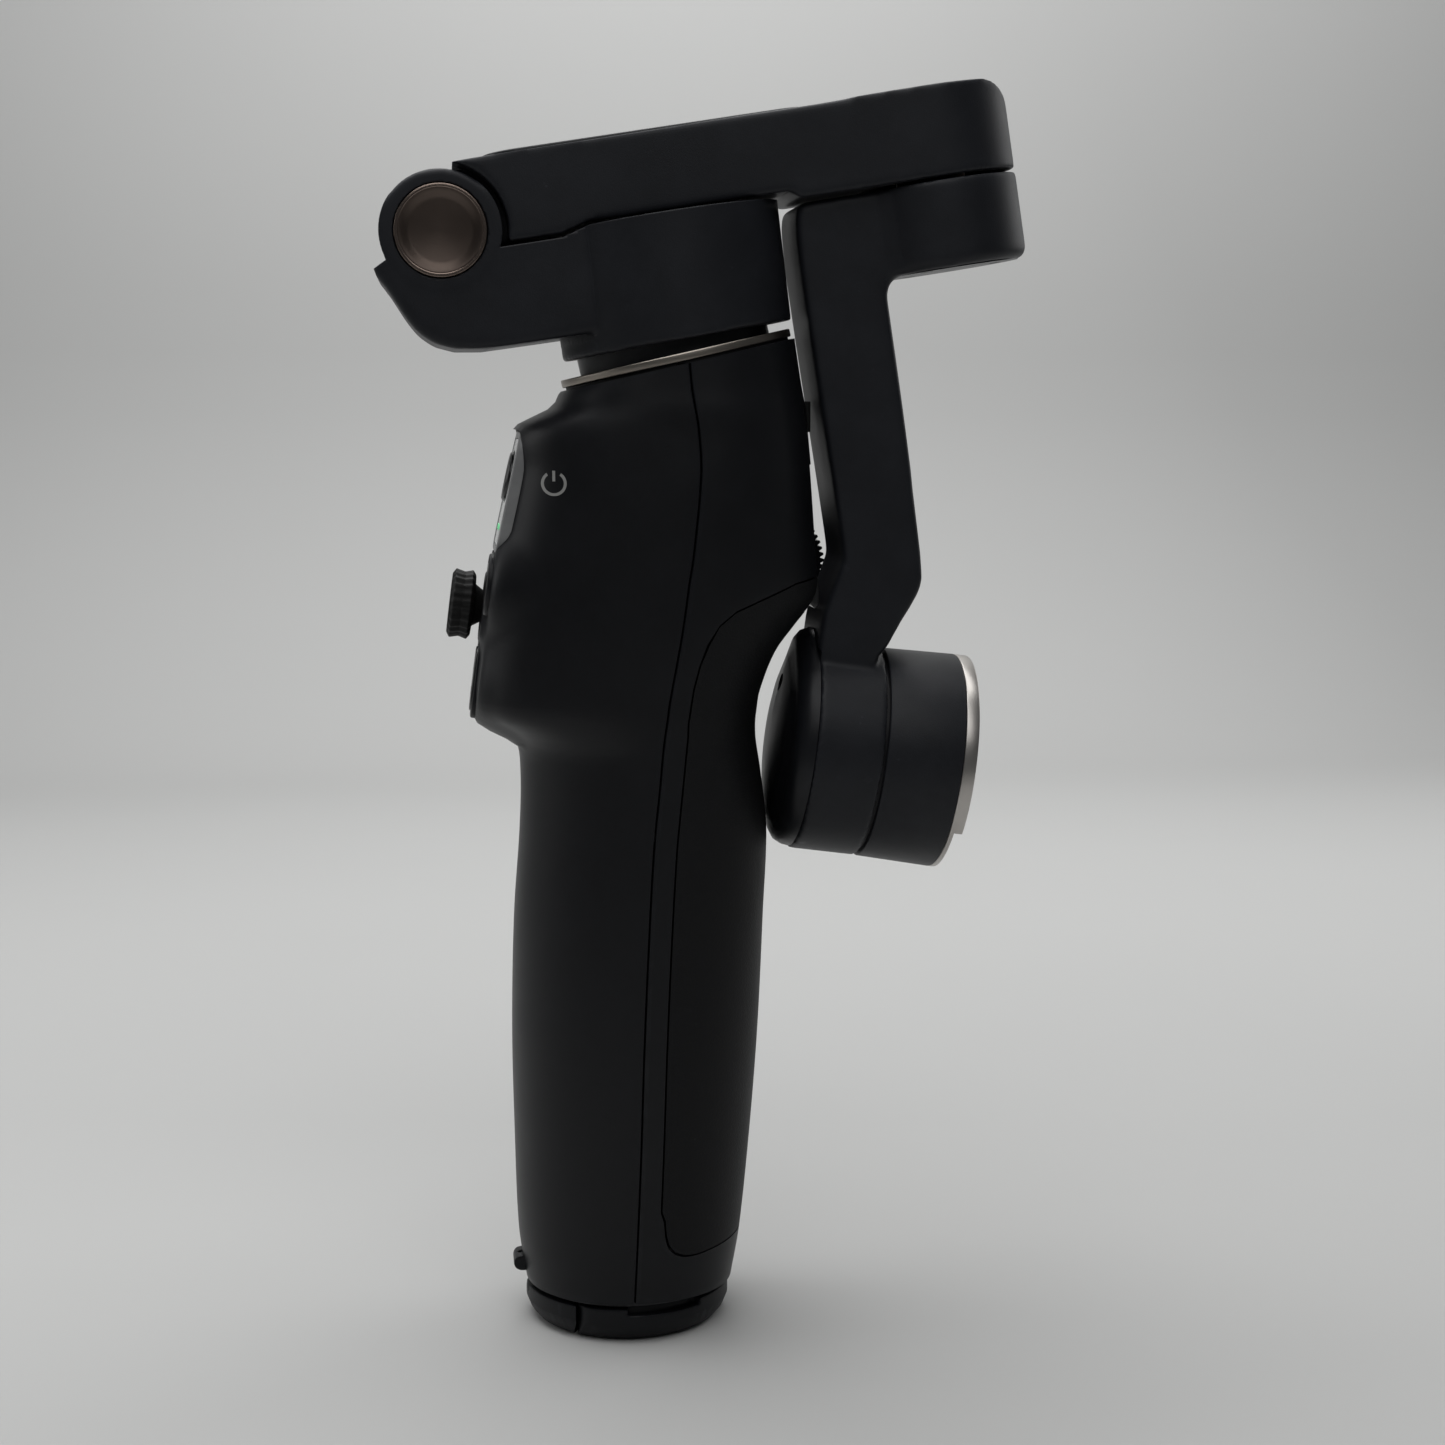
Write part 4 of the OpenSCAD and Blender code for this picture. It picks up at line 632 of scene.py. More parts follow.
def node_copy(name, node):
    """Merged copy of a CAD node's mesh."""
    obj = linked(name, frame["nodes"][node].data.copy())
    bm = bmesh.new()
    bm.from_mesh(obj.data)
    bmesh.ops.remove_doubles(bm, verts=bm.verts, dist=1e-6)
    bm.to_mesh(obj.data)
    bm.free()
    return obj


def soften(name, node, cell, passes):
    """Copy of a CAD node whose edges are rounded, as a moulding's are; the cell is in millimetres."""
    return round_off(node_copy(name, node), cell * MM, passes, WORLD)


INSET = 0.04            # how far the arms' outsides are kept under the CAD's own, in millimetres


def outside(name, shapes, covers):
    """One rounded outside over several closed shapes of an arm, which may overlap."""
    bm = shapes[0]
    for shape in shapes[1:]:
        mesh = bpy.data.meshes.new("shape")
        shape.to_mesh(mesh)
        shape.free()
        bm.from_mesh(mesh)
    obj = round_off(new_object("shape", bm), covers.voxel, covers.passes, ARM, INSET)
    obj.name = name
    return obj


def moulding(name, node, shapes, covers):
    """Rounded outside of an arm, with the hollows and the openings of a CAD node cut into it."""
    obj = outside(name, shapes, covers)
    carve(obj, node_copy("cutter", node), "INTERSECT")
    return obj


# ---------- the handle's skin ----------
SHELL_Z = 6.3
LEDGE_Z = 90.6
SKIN_TOP = 153.6
HANDLE_MIDDLE = Vector((5, 0, 80)) * MM
FRONT_N, GRIP_N, REAR_N = 2.9, 2.1, 2.25      # squareness at the controls, the grip and the rear
SQUARING = 6            # height over which the grip's squareness becomes the controls' own, in millimetres
# Height above SHELL_Z or LEDGE_Z, front, widest line, rear and half width of the handle, in millimetres
GRIP_ROWS = [
    (0, -15.8, 0, 16.3, 15.8), (7.59, -16.9, 0.3, 17.6, 16.8), (23.6, -17.4, 0.9, 19.2, 17.9),
    (39.62, -17.6, 1.4, 20.4, 18.4), (57.32, -17.1, 2.2, 21.2, 18.5),
]
HEAD_ROWS = [
    (-13.5, -16.1, 3, 21.7, 18.5), (-4.5, -15.9, 3.9, 20.7, 18.6), (0, -16.6, 4.3, 20, 18.7),
    (2.6, -19.2, 4.6, 19.9, 18.8), (4.6, -22.3, 4.9, 20.1, 18.9), (7.6, -22.9, 5.3, 20.6, 19),
    (13.6, -22.2, 6.4, 23, 19.2), (17.6, -21.7, 7.1, 26, 19.3), (21.6, -21.1, 7.7, 29.1, 19.3),
    (24.6, -20.7, 8.1, 29.7, 19.3), (29, -19.6, 8.8, 29.3, 19.3), (40.6, -17, 9.9, 28.4, 19),
    (47, -16.4, 9.6, 27.8, 18.6), (50.1, -10.7, 9.1, 27.5, 18.5), (52.6, -9.1, 8.7, 27.0, 18.2),
    (57.6, -3.6, 8.3, 26.2, 17.9), (63, 1.4, 8.2, 25.4, 17.8),
]
STATIONS = [(SHELL_Z + z, *row) for z, *row in GRIP_ROWS] + [(LEDGE_Z + z, *row) for z, *row in HEAD_ROWS]


def slope(index, column):
    low = STATIONS[max(index - 1, 0)]
    high = STATIONS[min(index + 1, len(STATIONS) - 1)]
    return (high[column] - low[column]) / (high[0] - low[0])


def skin_value(z, column):
    """Smooth value of one column of the stations at height z."""
    index = 0
    while index < len(STATIONS) - 2 and z > STATIONS[index + 1][0]:
        index += 1
    low, high = STATIONS[index], STATIONS[index + 1]
    span = high[0] - low[0]
    t = (z - low[0]) / span
    return (
        (2 * t**3 - 3 * t**2 + 1) * low[column] + (t**3 - 2 * t**2 + t) * span * slope(index, column)
        + (3 * t**2 - 2 * t**3) * high[column] + (t**3 - t**2) * span * slope(index + 1, column))


def skin_point(z, angle):
    """Point of the skin at height z; 0 degrees is the rear and 180 the front."""
    front, middle, rear, half = (skin_value(z, column) for column in (1, 2, 3, 4))
    c, s = math.cos(math.radians(angle)), math.sin(math.radians(angle))
    squareness = GRIP_N + (FRONT_N - GRIP_N) * min(1, max(0, (z - LEDGE_Z) / SQUARING))
    n = REAR_N if c > 0 else squareness
    reach = rear - middle if c > 0 else middle - front
    x = middle + math.copysign(reach * abs(c) ** (2 / n), c)
    y = math.copysign(half * abs(s) ** (2 / n), s)
    return Vector((x, y, z)) * MM


# How a shell's edge rolls in at the seam: distance from the seam, depth under the skin
SEAM_ROLL = [(0.0, 1.5), (0.0, 0.22), (0.03, 0.1), (0.1, 0.03), (0.22, 0.0)]
SEAM_STEP = 0.6         # how far from the seam the first free column stands, in columns
TOP_GAP = 0.4           # between the flange and the skin's top edge, in millimetres
# Raised pads under the record button and the switch: centre and radius, in millimetres
PADS = ((RECORD_AT, 4.9), (SWITCH_AT, 5.6))
PAD_LEVEL, PAD_FALL = -0.35, 4.2        # height above the joystick's foot, and width of the slope around


def raise_pads(bm):
    """Raises the skin around the controls to the face that they stand on."""
    inverse = STICK.inverted()
    for vert in bm.verts:
        spot = (inverse @ vert.co) / MM
        away = min(math.hypot(spot.x - x, spot.y - y) - radius for (x, y), radius in PADS)
        share = min(1, max(0, 1 - away / PAD_FALL))
        spot.z += share * share * (3 - 2 * share) * max(0, PAD_LEVEL - spot.z)
        vert.co = STICK @ (spot * MM)


def half_skin(name, sizes, front):
    """Front or rear half of the skin, with its edges rolled in at the seams."""
    rows = round((SKIN_TOP - SHELL_Z) * MM / sizes.row_height)
    roll = len(SEAM_ROLL)
    columns = sizes.columns + 2 * roll
    side = -1 if front else 1
    bm = bmesh.new()
    bmesh.ops.create_grid(bm, x_segments=columns, y_segments=rows, size=1)
    for vert in bm.verts:
        column = round((vert.co.x + 1) / 2 * columns)
        z = SHELL_Z + (SKIN_TOP - SHELL_Z) * (vert.co.y + 1) / 2
        from_edge = min(column, columns - column)
        near_side = -1 if column < columns / 2 else 1
        if from_edge < roll:
            away, depth = SEAM_ROLL[from_edge]
            x = skin_value(z, 2) + side * (sizes.seam / MM + away)
            vert.co = Vector((x, near_side * (skin_value(z, 4) - depth), z)) * MM
        else:
            turn = (column - roll + SEAM_STEP) / (sizes.columns + 2 * SEAM_STEP)
            vert.co = skin_point(z, (270 - 180 * turn) if front else (-90 + 180 * turn))
    if front:
        raise_pads(bm)
    bmesh.ops.bisect_plane(
        bm, geom=bm.verts[:] + bm.edges[:] + bm.faces[:], dist=1e-7, clear_outer=True,
        plane_co=PAN @ Vector((0, 0, -TOP_GAP * MM)), plane_no=PAN.to_3x3() @ Vector((0, 0, 1)))
    return walled(new_object(name, bm), sizes.wall)


def walled(obj, thickness):
    """Turns the faces of an open skin away from the handle's middle and gives it a wall on the inside."""
    mesh = obj.data
    outward = sum((p.center - HANDLE_MIDDLE).dot(p.normal) * p.area for p in mesh.polygons)
    if outward < 0:
        mesh.flip_normals()
    modify(obj, "SOLIDIFY", thickness=thickness, offset=-1)
    bake_modifiers(obj)
    return obj


def grip_outline(gap):
    """Side view of the soft grip in x and z, moved in by gap, in millimetres."""
    seam_side = [SHELL_Z + 14.7 + 8 * i for i in range(10)]
    corner = [(16, 7.9), (12, 7.4), (9.2, 7.1), (7, 7.4), (5.4, 8.6), (4.7, 10.6), (4.5, 13)]
    line = [(60, SHELL_Z + 9.4 + gap)] + curve([(x + gap, SHELL_Z + z + gap) for x, z in corner], 4)
    line += [(skin_value(z, 2) + 3.4 + gap, z) for z in seam_side]
    line += [(x + gap, LEDGE_Z + z) for x, z in ((8.0, 4.2), (8.8, 9.4), (9.7, 12.8))]
    line += [(10.9 + gap, LEDGE_Z + 15.8 - gap)]
    top = (12.6, 18.6), (15.1, 20.6), (19, 22.2), (24.5, 24.3), (60, 30)
    return line + [(x, LEDGE_Z + z - gap) for x, z in top]


def skin_side(x, z):
    """Place in y, on the near side, of the front half's skin at x and z in millimetres."""
    front, middle, half = (skin_value(z, column) for column in (1, 2, 4))
    c = max(0.0, (middle - x) / (middle - front)) ** (FRONT_N / 2)
    return -half * (1 - c * c) ** (1 / FRONT_N) * MM


def power_mark():
    """Power symbol printed on the side of the front shell: a broken ring and a bar."""
    x0, z0, radius, half = -11.1, LEDGE_Z + 39.2, 1.6, 0.2
    ring = [arc(x0, z0, radius + side * half, 125, 415, 40) for side in (-1, 1)]
    bar = [[(x0 + side * half, z0 + 0.3 + 0.19 * i) for i in range(9)] for side in (-1, 1)]
    bm = bmesh.new()
    for inner, outer in (ring, bar):
        edges = []
        for line in (inner, outer):
            verts = [bm.verts.new((x * MM, skin_side(x, z) - 0.02 * MM, z * MM)) for x, z in line]
            edges += [bm.edges.new(pair) for pair in zip(verts, verts[1:])]
        bmesh.ops.bridge_loops(bm, edges=edges)
    return walled(new_object("power_mark", bm), 0.06 * MM)


# ---------- operators ----------
class PieceOperator:
    """What the operators of this add-on share."""

    bl_options = {"REGISTER", "UNDO"}

    def execute(self, context):
        self.make(context.scene)
        return {"FINISHED"}


class GIMBAL_OT_construction(PieceOperator, bpy.types.Operator):
    """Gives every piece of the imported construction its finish"""

    bl_idname = "gimbal.construction"
    bl_label = "Construction finishes"

    def make(self, scene):
        FINISHES.update(make_finishes(scene.gimbal_colours))
        for name, node in frame["nodes"].items():
            node.data.materials.clear()
            node.data.materials.append(FINISHES[SLOT_OF[name]])


class GIMBAL_OT_handle(PieceOperator, bpy.types.Operator):
    """Makes the two shells of the handle and the soft grip let into the rear one"""

    bl_idname = "gimbal.handle"
    bl_label = "Handle"

    def make(self, scene):
        sizes = scene.gimbal_handle
        front = half_skin("handle_front", sizes, True)
        panel_rim = new_object("cutter", slab(PLATE_W + 0.2, PLATE_H + 0.2, 3.1, -2.7, 8, PANEL))
        cut(panel_rim, slab(PLATE_W - 3.1, PLATE_H - 3.1, 1.8, -3, -1.15, PANEL))
        carve(front, panel_rim)
        cut(front, cylinder(3.9, -8, 4, MODE), cylinder(4.6, -9, 6, STICK), cylinder(3.85, -9, 6, RECORD),
            slab(10.7, 5.7, 2.5, -9, 6, SWITCH), slab(3.8, 9.6, 1.8, -4, 14, USB))
        dress(front, "shell_black", "handle", "front_shell")
        dress(power_mark(), "mark_white", "handle", slot="shell_black")

        rear = half_skin("handle_rear", sizes, False)
        grip = linked("handle_grip", rear.data.copy())
        half_groove = sizes.groove / 2 / MM
        cut(rear, prism(grip_outline(-half_groove), -60, 60, SIDE))
        carve(grip, new_object("cutter", prism(grip_outline(half_groove), -60, 60, SIDE)), "INTERSECT")
        low, high = LEDGE_Z + 19.4, LEDGE_Z + 41.6
        for half in (rear, grip):
            trigger_slot = prism([(14.5, low), (40, low), (40, high), (14.5, high)], -6.9, 6.9, SIDE)
            cut(half, trigger_slot, cylinder(10.3, -0.4, 14, WHEEL, 64))
        dress(rear, "shell_black", "handle", "rear_shell")
        dress(grip, "grip_rubber", "handle", "rear_grip")


class GIMBAL_OT_controls(PieceOperator, bpy.types.Operator):
    """Makes the control panel, the buttons, the joystick, the trigger and the wheel"""

    bl_idname = "gimbal.controls"
    bl_label = "Controls"

    def make(self, scene):
        self.panel()
        self.record_button()
        self.switch()
        self.joystick()
        dress(soften("trigger_lever", "trigger", 0.22, 4), "button_black", "trigger", "trigger")
        self.wheel()

    def panel(self):
        """Light plate with its window, four lamps and the mode button."""
        piece("panel_plate", slab(PLATE_W, PLATE_H, 3, -2.6, 0.0, PANEL, 0.3), "panel_grey", "handle",
              "control_panel", cuts=[
                  slab(PLATE_W - 2.9, PLATE_H - 2.9, 2, -4, -1.1, PANEL), slab(16.3, 16.7, 2, -0.35, 2, PANEL),
                  cylinder(4.15, -8, 4, MODE)])
        piece("panel_window", slab(16.1, 16.5, 1.9, -0.34, -0.05, PANEL, 0.12), "window", "handle",
              "status_window", cuts=[cylinder(4.15, -8, 4, MODE)])
        for i in range(4):
            turned_piece(f"battery_lamp_{i + 1}", disc(0.42, 0.06, -0.3), moved(PANEL, -5.4, 2.2 * i - 3.3),
                         0.04, 20, "lamp_green", "handle", slot="window")
        mode = [(0, 0.15), (2.2, 0.2), (3.0, 0.45), (3.4, 0.55), (3.8, 0.2), (3.8, -1.05), (2.3, -1.05),
                (2.3, -4), (0, -4)]
        turned_piece("mode_cap", mode, MODE, 0.15, 72, "button_black", "mode_button", "mode_button")
        turned_piece("mode_dot", disc(0.7, 0.22, 0.1), MODE, 0.04, 32, "mark_white", "mode_button",
                     slot="button_black")

    def record_button(self):
        cap = [(0, 0.1), (1.6, 0.12), (2.7, 0.3), (3.1, 0.35), (3.5, 0.05), (3.5, -6.5), (0, -6.5)]
        turned_piece("record_cap", cap, RECORD, 0.12, 72, "button_black", "record_button", "record_button")
        ring = lathe(washer(1.15, 1.75, 0.05, 0.19), RECORD, 0.04, 48, 2)
        piece("record_ring", ring, "mark_red", "record_button", slot="button_black")
        turned_piece("record_rim", washer(3.8, 4.6, -0.9, 0.32), RECORD, 0.3, 72, "shell_black", "handle")

    def switch(self):
        cap = slab(10, 5, 2.45, -6.5, 0.55, SWITCH, 0.4)
        piece("switch_cap", cap, "button_black", "switch_button", "switch_button")
        for side in (-1, 1):
            arrow = [(side * 1.2, -0.9 * side), (side * 2.4, 0), (side * 1.2, 0.9 * side)]
            piece(f"switch_arrow_{side + 2}", prism(arrow, 0.5, 0.6, SWITCH, 0.02, 1), "mark_white",
                  "switch_button", slot="button_black")
        piece("switch_rim", slab(11.9, 6.9, 3.1, -0.9, 0.25, SWITCH, 0.3), "shell_black", "handle",
              cuts=[slab(10.6, 5.6, 2.7, -4, 4, SWITCH)])

    def joystick(self):
        """Ribbed cap on its neck, in a round well."""
        foot, top, cap, ribs, notch = 1.6, 5.2, 5.3, 24, 0.28
        bm = lathe([
            (0, top - 0.75), (2.6, top - 0.65), (3.7, top - 0.1), (4.5, top), (cap, top - 0.5),
            (cap - 0.35, top - 1.9), (cap, foot + 0.5), (4.6, foot), (3.2, foot - 0.1), (2.5, 0.4), (2.1, -1.6),
            (1.4, -1.6), (1.4, -1.0), (0, -1.0)], WORLD, 0.12, 96)
        for vert in bm.verts:
            if math.hypot(vert.co.x, vert.co.y) > (cap - 0.8) * MM:
                a = math.atan2(vert.co.y, vert.co.x)
                depth = notch * MM * (0.5 + 0.5 * math.cos(ribs * a))
                vert.co -= Vector((depth * math.cos(a), depth * math.sin(a), 0))
        bmesh.ops.transform(bm, matrix=STICK, verts=bm.verts)
        piece("joystick_top", bm, "stick_rubber", "joystick", "joystick_cap", angle=50)
        turned_piece("joystick_well", washer(4.55, 5.4, -1.2, 0.28), STICK, 0.35, 72, "shell_black", "handle")

    def wheel(self):
        """Toothed wheel with a hollow face, bored for its axle."""
        teeth, radius, root, width = 60, 9.7, 9.08, 5.0
        outline = []
        for i in range(teeth):
            for share, r in ((0.0, root), (0.28, radius), (0.62, radius), (0.9, root)):
                a = 2 * math.pi * (i + share) / teeth
                outline.append((r * math.cos(a), r * math.sin(a)))
        hollows = [cylinder(radius - 2.2, width - 0.9, width + 2, WHEEL, 72), cylinder(1.56, -1, width + 2, WHEEL, 32)]
        rim = prism(outline, 0, width, WHEEL, 0.1, 2)
        piece("zoom_wheel_rim", rim, "cover_black", "zoom_wheel", "zoom_wheel", cuts=hollows)


# Sizes that the arms share, in millimetres
FLANGE_R = 17.6         # radius of the flange under the pan motor
HALF_HINGE = 12.3       # half the width of the hinge's cheeks and of the pan arm
TONGUE = 6.7            # half the width of the fold arm's tongue between the cheeks
FOLD_LEN = 74           # from the hinge's axis to the tilt axis
UNDER = -3.1            # underside of the fold arm
TILT_R = 12.7           # radius of the tilt motor's housing
STEM_TOP, TILT_FOOT = -3.5, -16.3       # the two ends of that housing
TILT_FLOOR = -14.9      # under the tilt motor
MOTOR_R = 16.2          # radius of the roll motor's can and of its cup's mouth
CAN = -10.7             # where that can begins on the roll axis


class GIMBAL_OT_pan_motor(PieceOperator, bpy.types.Operator):
    """Makes the flange, the pan arm with its housing, and the hinge caps"""

    bl_idname = "gimbal.pan_motor"
    bl_label = "Pan motor"

    def make(self, scene):
        covers = scene.gimbal_covers
        flange, gasket = washer(3, FLANGE_R, 0, 1.2), washer(8, FLANGE_R - 0.5, -0.6, 0.05)
        turned_piece("flange_ring", flange, PAN, 0.22, 128, "champagne", "head", "head_flange")
        turned_piece("flange_gasket", gasket, PAN, 0.1, 128, "stick_rubber", "head", slot="cover_black")

        front, low, high = -10.6, -17.8, 6
        side = curve([(front, -3.9), (-10.3, -4.9), (-8.8, -7.5), (-7.3, -11), (-5.8, -13.6), (-3.8, -15.5),
                      (-0.8, -16.9), (4.1, -17.6), (10, low)], 3)
        side += [(30, low), (30, high), (front, high)]
        body = rounded(prism(side, -HALF_HINGE, HALF_HINGE, ARM @ SIDE), covers, 4)
        housing = shared(cylinder(17.4, -20, 30, BARREL, 160), slab(60, 60, 2, 0, 60, BARREL_CUT))
        cheeks = cylinder(8.8, -HALF_HINGE - 0.1, HALF_HINGE + 0.1, ARM @ SIDE, 128, 0.5)
        arm = moulding("pan_arm", "pan_arm_casting", [body, housing, cheeks], covers)
        dress(arm, "arm_black", "pan_arm", "pan_arm_casting")

        profile = [(0, 0), (6.7, 0), (6.7, 1.45), (6.35, 1.85), (5.95, 1.9), (5.5, 1.75), (4.9, 1.35), (4.4, 1.2),
                   (0, 1.1)]
        for name, facing in (("right", SIDE), ("left", FAR_SIDE)):
            place = moved(ARM @ facing, 0, 0, 10.8)
            turned_piece(f"cap_{name}", profile, place, 0.08, 96, "bronze_cap", "pan_arm", f"hinge_cap_{name}")
            # each cap's rim is turned in the lighter bronze, a painted highlight on the caps' bevel
            rim = washer(6.05, 6.62, 1.6, 1.96)
            turned_piece(f"cap_rim_painted_highlight_{name}", rim, place, 0.12, 96, "bronze_edge", "pan_arm", slot="bronze_cap")


class GIMBAL_OT_fold_arm(PieceOperator, bpy.types.Operator):
    """Makes the folded arm and the cover let into its top"""

    bl_idname = "gimbal.fold_arm"
    bl_label = "Fold arm"

    def make(self, scene):
        side = arc(0, 0, 9.7, -18, 74, 24)
        side += curve([(15, 9.82), (40, 9.85), (57, 9.85), (65, 10.1), (81, 10.1)], 3)
        side += arc(81.2, 4.6, 5.5, 84, 0, 16)
        side += [(86.7, UNDER), (52.3, UNDER), (50.7, -1.9), (20.9, -1.9), (16.9, UNDER)]
        edge = [(-2, HALF_HINGE), (8, HALF_HINGE), (24, 11.5), (61, 11.5)]
        plan = [(x, -y) for x, y in edge] + arc(FOLD_LEN, 0, 12.65, -97, 97, 60) + edge[::-1]
        beam = shared(prism(side, -20, 20, ARM @ SIDE), prism(plan, -20, 20, ARM))
        neck = [(0, UNDER), (14, UNDER), (14, 8.4), (0, 8.4)]
        shapes = [
            beam, cylinder(8.5, -TONGUE, TONGUE, ARM @ SIDE, 128, 0.4), prism(neck, -TONGUE, TONGUE, ARM @ SIDE),
            cylinder(6.4, -13, 2, moved(ARM, FOLD_LEN), 64)]
        arm = moulding("fold_arm_body", "fold_arm_shell", shapes, scene.gimbal_covers)
        dress(arm, "arm_black", "fold_arm", "fold_arm_shell")
        top = 10.05
        inlay = slab(48.7, 17.8, 5, top - 1.2, top + 0.08, moved(ARM, 32.05), 0.35, 16)
        piece("fold_arm_inlay", inlay, "cover_black", "fold_arm", "fold_arm_cover")


class GIMBAL_OT_tilt_arm(PieceOperator, bpy.types.Operator):
    """Makes the hanging arm, the roll motor's dome and its turning cup with the clamp plate"""

    bl_idname = "gimbal.tilt_arm"
    bl_label = "Tilt arm and roll motor"

    def make(self, scene):
        self.arm(scene.gimbal_covers)
        self.dome()
        self.cup()

    def arm(self, covers):
        """Tilt housing, the stem hanging from it and the roll motor's can, hollowed, on their shaft."""
        stem = curve([(52.6, STEM_TOP), (51.6, -5.6), (51.1, -16), (51.1, -53), (50.4, -57), (48, -61.6),
                      (45.9, -66.4), (41.3, -84)], 4)
        stem += [(48, -84), (54.4, -71.4)]
        stem += curve([(55.5, -70.9), (58.2, -67.4), (60.9, -64.2), (62.2, -62.1), (62.8, -58.6), (63.4, -38),
                       (63.5, -21)], 4)
        stem += arc(66.1, -18.9, 2.6, 180, 90, 8) + [(76, TILT_FOOT), (76, STEM_TOP)]
        depth = [(44, -9), (80, -9), (80, 9), (44, 9)]
        web = [(57, -9), (63.5, -9), (FOLD_LEN, -TILT_R), (FOLD_LEN, TILT_R), (63.5, 9), (57, 9)]
        housing = [(0, STEM_TOP), (TILT_R, STEM_TOP), (TILT_R, TILT_FLOOR), (12.2, -15.9), (11.3, TILT_FOOT),
                   (0, TILT_FOOT)]
        end = moved(ARM, FOLD_LEN)
        arm = outside("tilt_arm_body", [
            rounded(shared(prism(stem, -20, 20, ARM @ SIDE), prism(depth, -100, 20, ARM)), covers, 5),
            lathe(housing, end, 0.3, 160), prism(web, TILT_FOOT, STEM_TOP, ARM, 0.8),
            cylinder(MOTOR_R, CAN, -0.4, ROLL, 160, 0.2),
            prism(teardrop(MOTOR_R, 7.6, 10.8), CAN, -7.3, ROLL, 0.3)], covers)
        cut(arm, cylinder(11.2, -13.3, 12, end, 96), cylinder(11.5, -20, TILT_FLOOR, end, 96),
            cylinder(14.6, -8.9, 11, ROLL, 96), cylinder(17.5, -30, CAN, ROLL, 96),
            cylinder(16.8, -0.4, 11, ROLL, 96), cylinder(5, -12, 0, ROLL))
        turned_piece("tilt_shaft", disc(2, TILT_FLOOR, 0.9), end, 0.1, 48, "pin_steel", "tilt_arm")
        dress(arm, "arm_black", "tilt_arm", "tilt_arm_shell")

    def dome(self):
        """Domed back cover with its screw, and the sleeve that the cup turns around."""
        rings = []
        for inset, height in ((0, 0), (0.15, 1.1), (0.7, 2.2), (1.7, 2.9), (2.8, 3.2), (3.1, 3.2), (4.5, 3.8),
                              (7, 4.3), (10, 4.7), (13, 4.9)):
            lobe = max(7.3 - inset, 0.6 + 0.02 * inset)
            rings.append((CAN - height, teardrop(15.9 - inset, lobe, 10.8 - max(0, inset - 4) * 0.8)))
        centre, screw_place = moved(ROLL, 0, 0, CAN), moved(ROLL, -9, 0, CAN)
        hollows = [cylinder(11.6, -2, 2, centre, 96), cylinder(1.4, -12, 0, screw_place, 32)]
        piece("roll_dome", loft(rings, ROLL), "cover_black", "tilt_arm", "roll_back_cover", cuts=hollows)
        screw = [(0, -2.2), (1.25, -2.2), (1.25, -3.0), (0.5, -3.0), (0.5, -2.6), (0, -2.6)]
        turned_piece("dome_screw", screw, screw_place, 0.06, 32, "pin_steel", "tilt_arm")
        turned_piece("roll_sleeve", washer(14.7, 15.4, -1.5, 1.0), ROLL, 0.1, 96, "shell_black", "tilt_arm")

    def cup(self):
        """Flared cup of the roll motor, its clamp ring and three screws."""
        wall, flare, face, plate = 14.6, 16.6, 11.5, 13.5
        cup = [(wall, 0), (MOTOR_R, 0), (flare, face), (0, face), (0, 10.7), (wall, 10.7), (wall, 0)]
        turned_piece("roll_cup_wall", cup, ROLL, 0.2, 160, "arm_black", "roll_head", "roll_cup")
        ring = [
            (0, face), (flare, face), (flare, plate), (13.2, plate), (12.9, plate - 0.6), (11.2, plate - 0.6),
            (10.9, plate), (4.2, plate), (3.9, plate - 0.5), (0, plate - 0.5)]
        turned_piece("clamp_ring", ring, ROLL, 0.15, 160, "plate_silver", "roll_head", "clamp_plate",
                     cuts=[slab(10, 40, 0.5, plate - 1.3, plate + 4, moved(ROLL, 14.2))])
        screw = [(0, 12.85), (0.6, 12.85), (0.6, 13.1), (1.5, 13.1), (1.5, 12.5), (0, 12.5)]
        for i in range(3):
            place = moved(ROLL @ Matrix.Rotation(math.radians(120 * i + 60), 4, "Z"), 7.5, 0, 0.4)
            turned_piece(f"clamp_screw_{i + 1}", screw, place, 0.08, 32, "pin_steel", "roll_head")


class GIMBAL_OT_base(PieceOperator, bpy.types.Operator):
    """Makes the tripod legs, the strap lug and the rest bumper"""

    bl_idname = "gimbal.base"
    bl_label = "Base"

    def make(self, scene):
        bowl = [(0, -0.1), (13.1, -0.1), (14.3, 0.5), (15.2, 1.6), (15.8, 3.1), (16.1, 4.8), (16.4, 8), (0, 8)]
        for letter in "abc":
            leg = soften(f"leg_{letter}_moulding", f"tripod_leg_{letter}", 0.22, 3)
            carve(leg, new_object("cutter", lathe(bowl, WORLD, 0, 160)), "INTERSECT")
            dress(leg, "leg_black", f"leg_{letter}", f"tripod_leg_{letter}")
        lug = soften("lug_moulding", "strap_lug", 0.14, 16)
        lug.data.transform(Matrix.Translation((0.7 * MM, 0, 0)))
        dress(lug, "shell_black", "handle", "strap_lug")
        dress(soften("bumper_moulding", "rest_bumper", 0.14, 4), "stick_rubber", "handle", "rest_bumper")


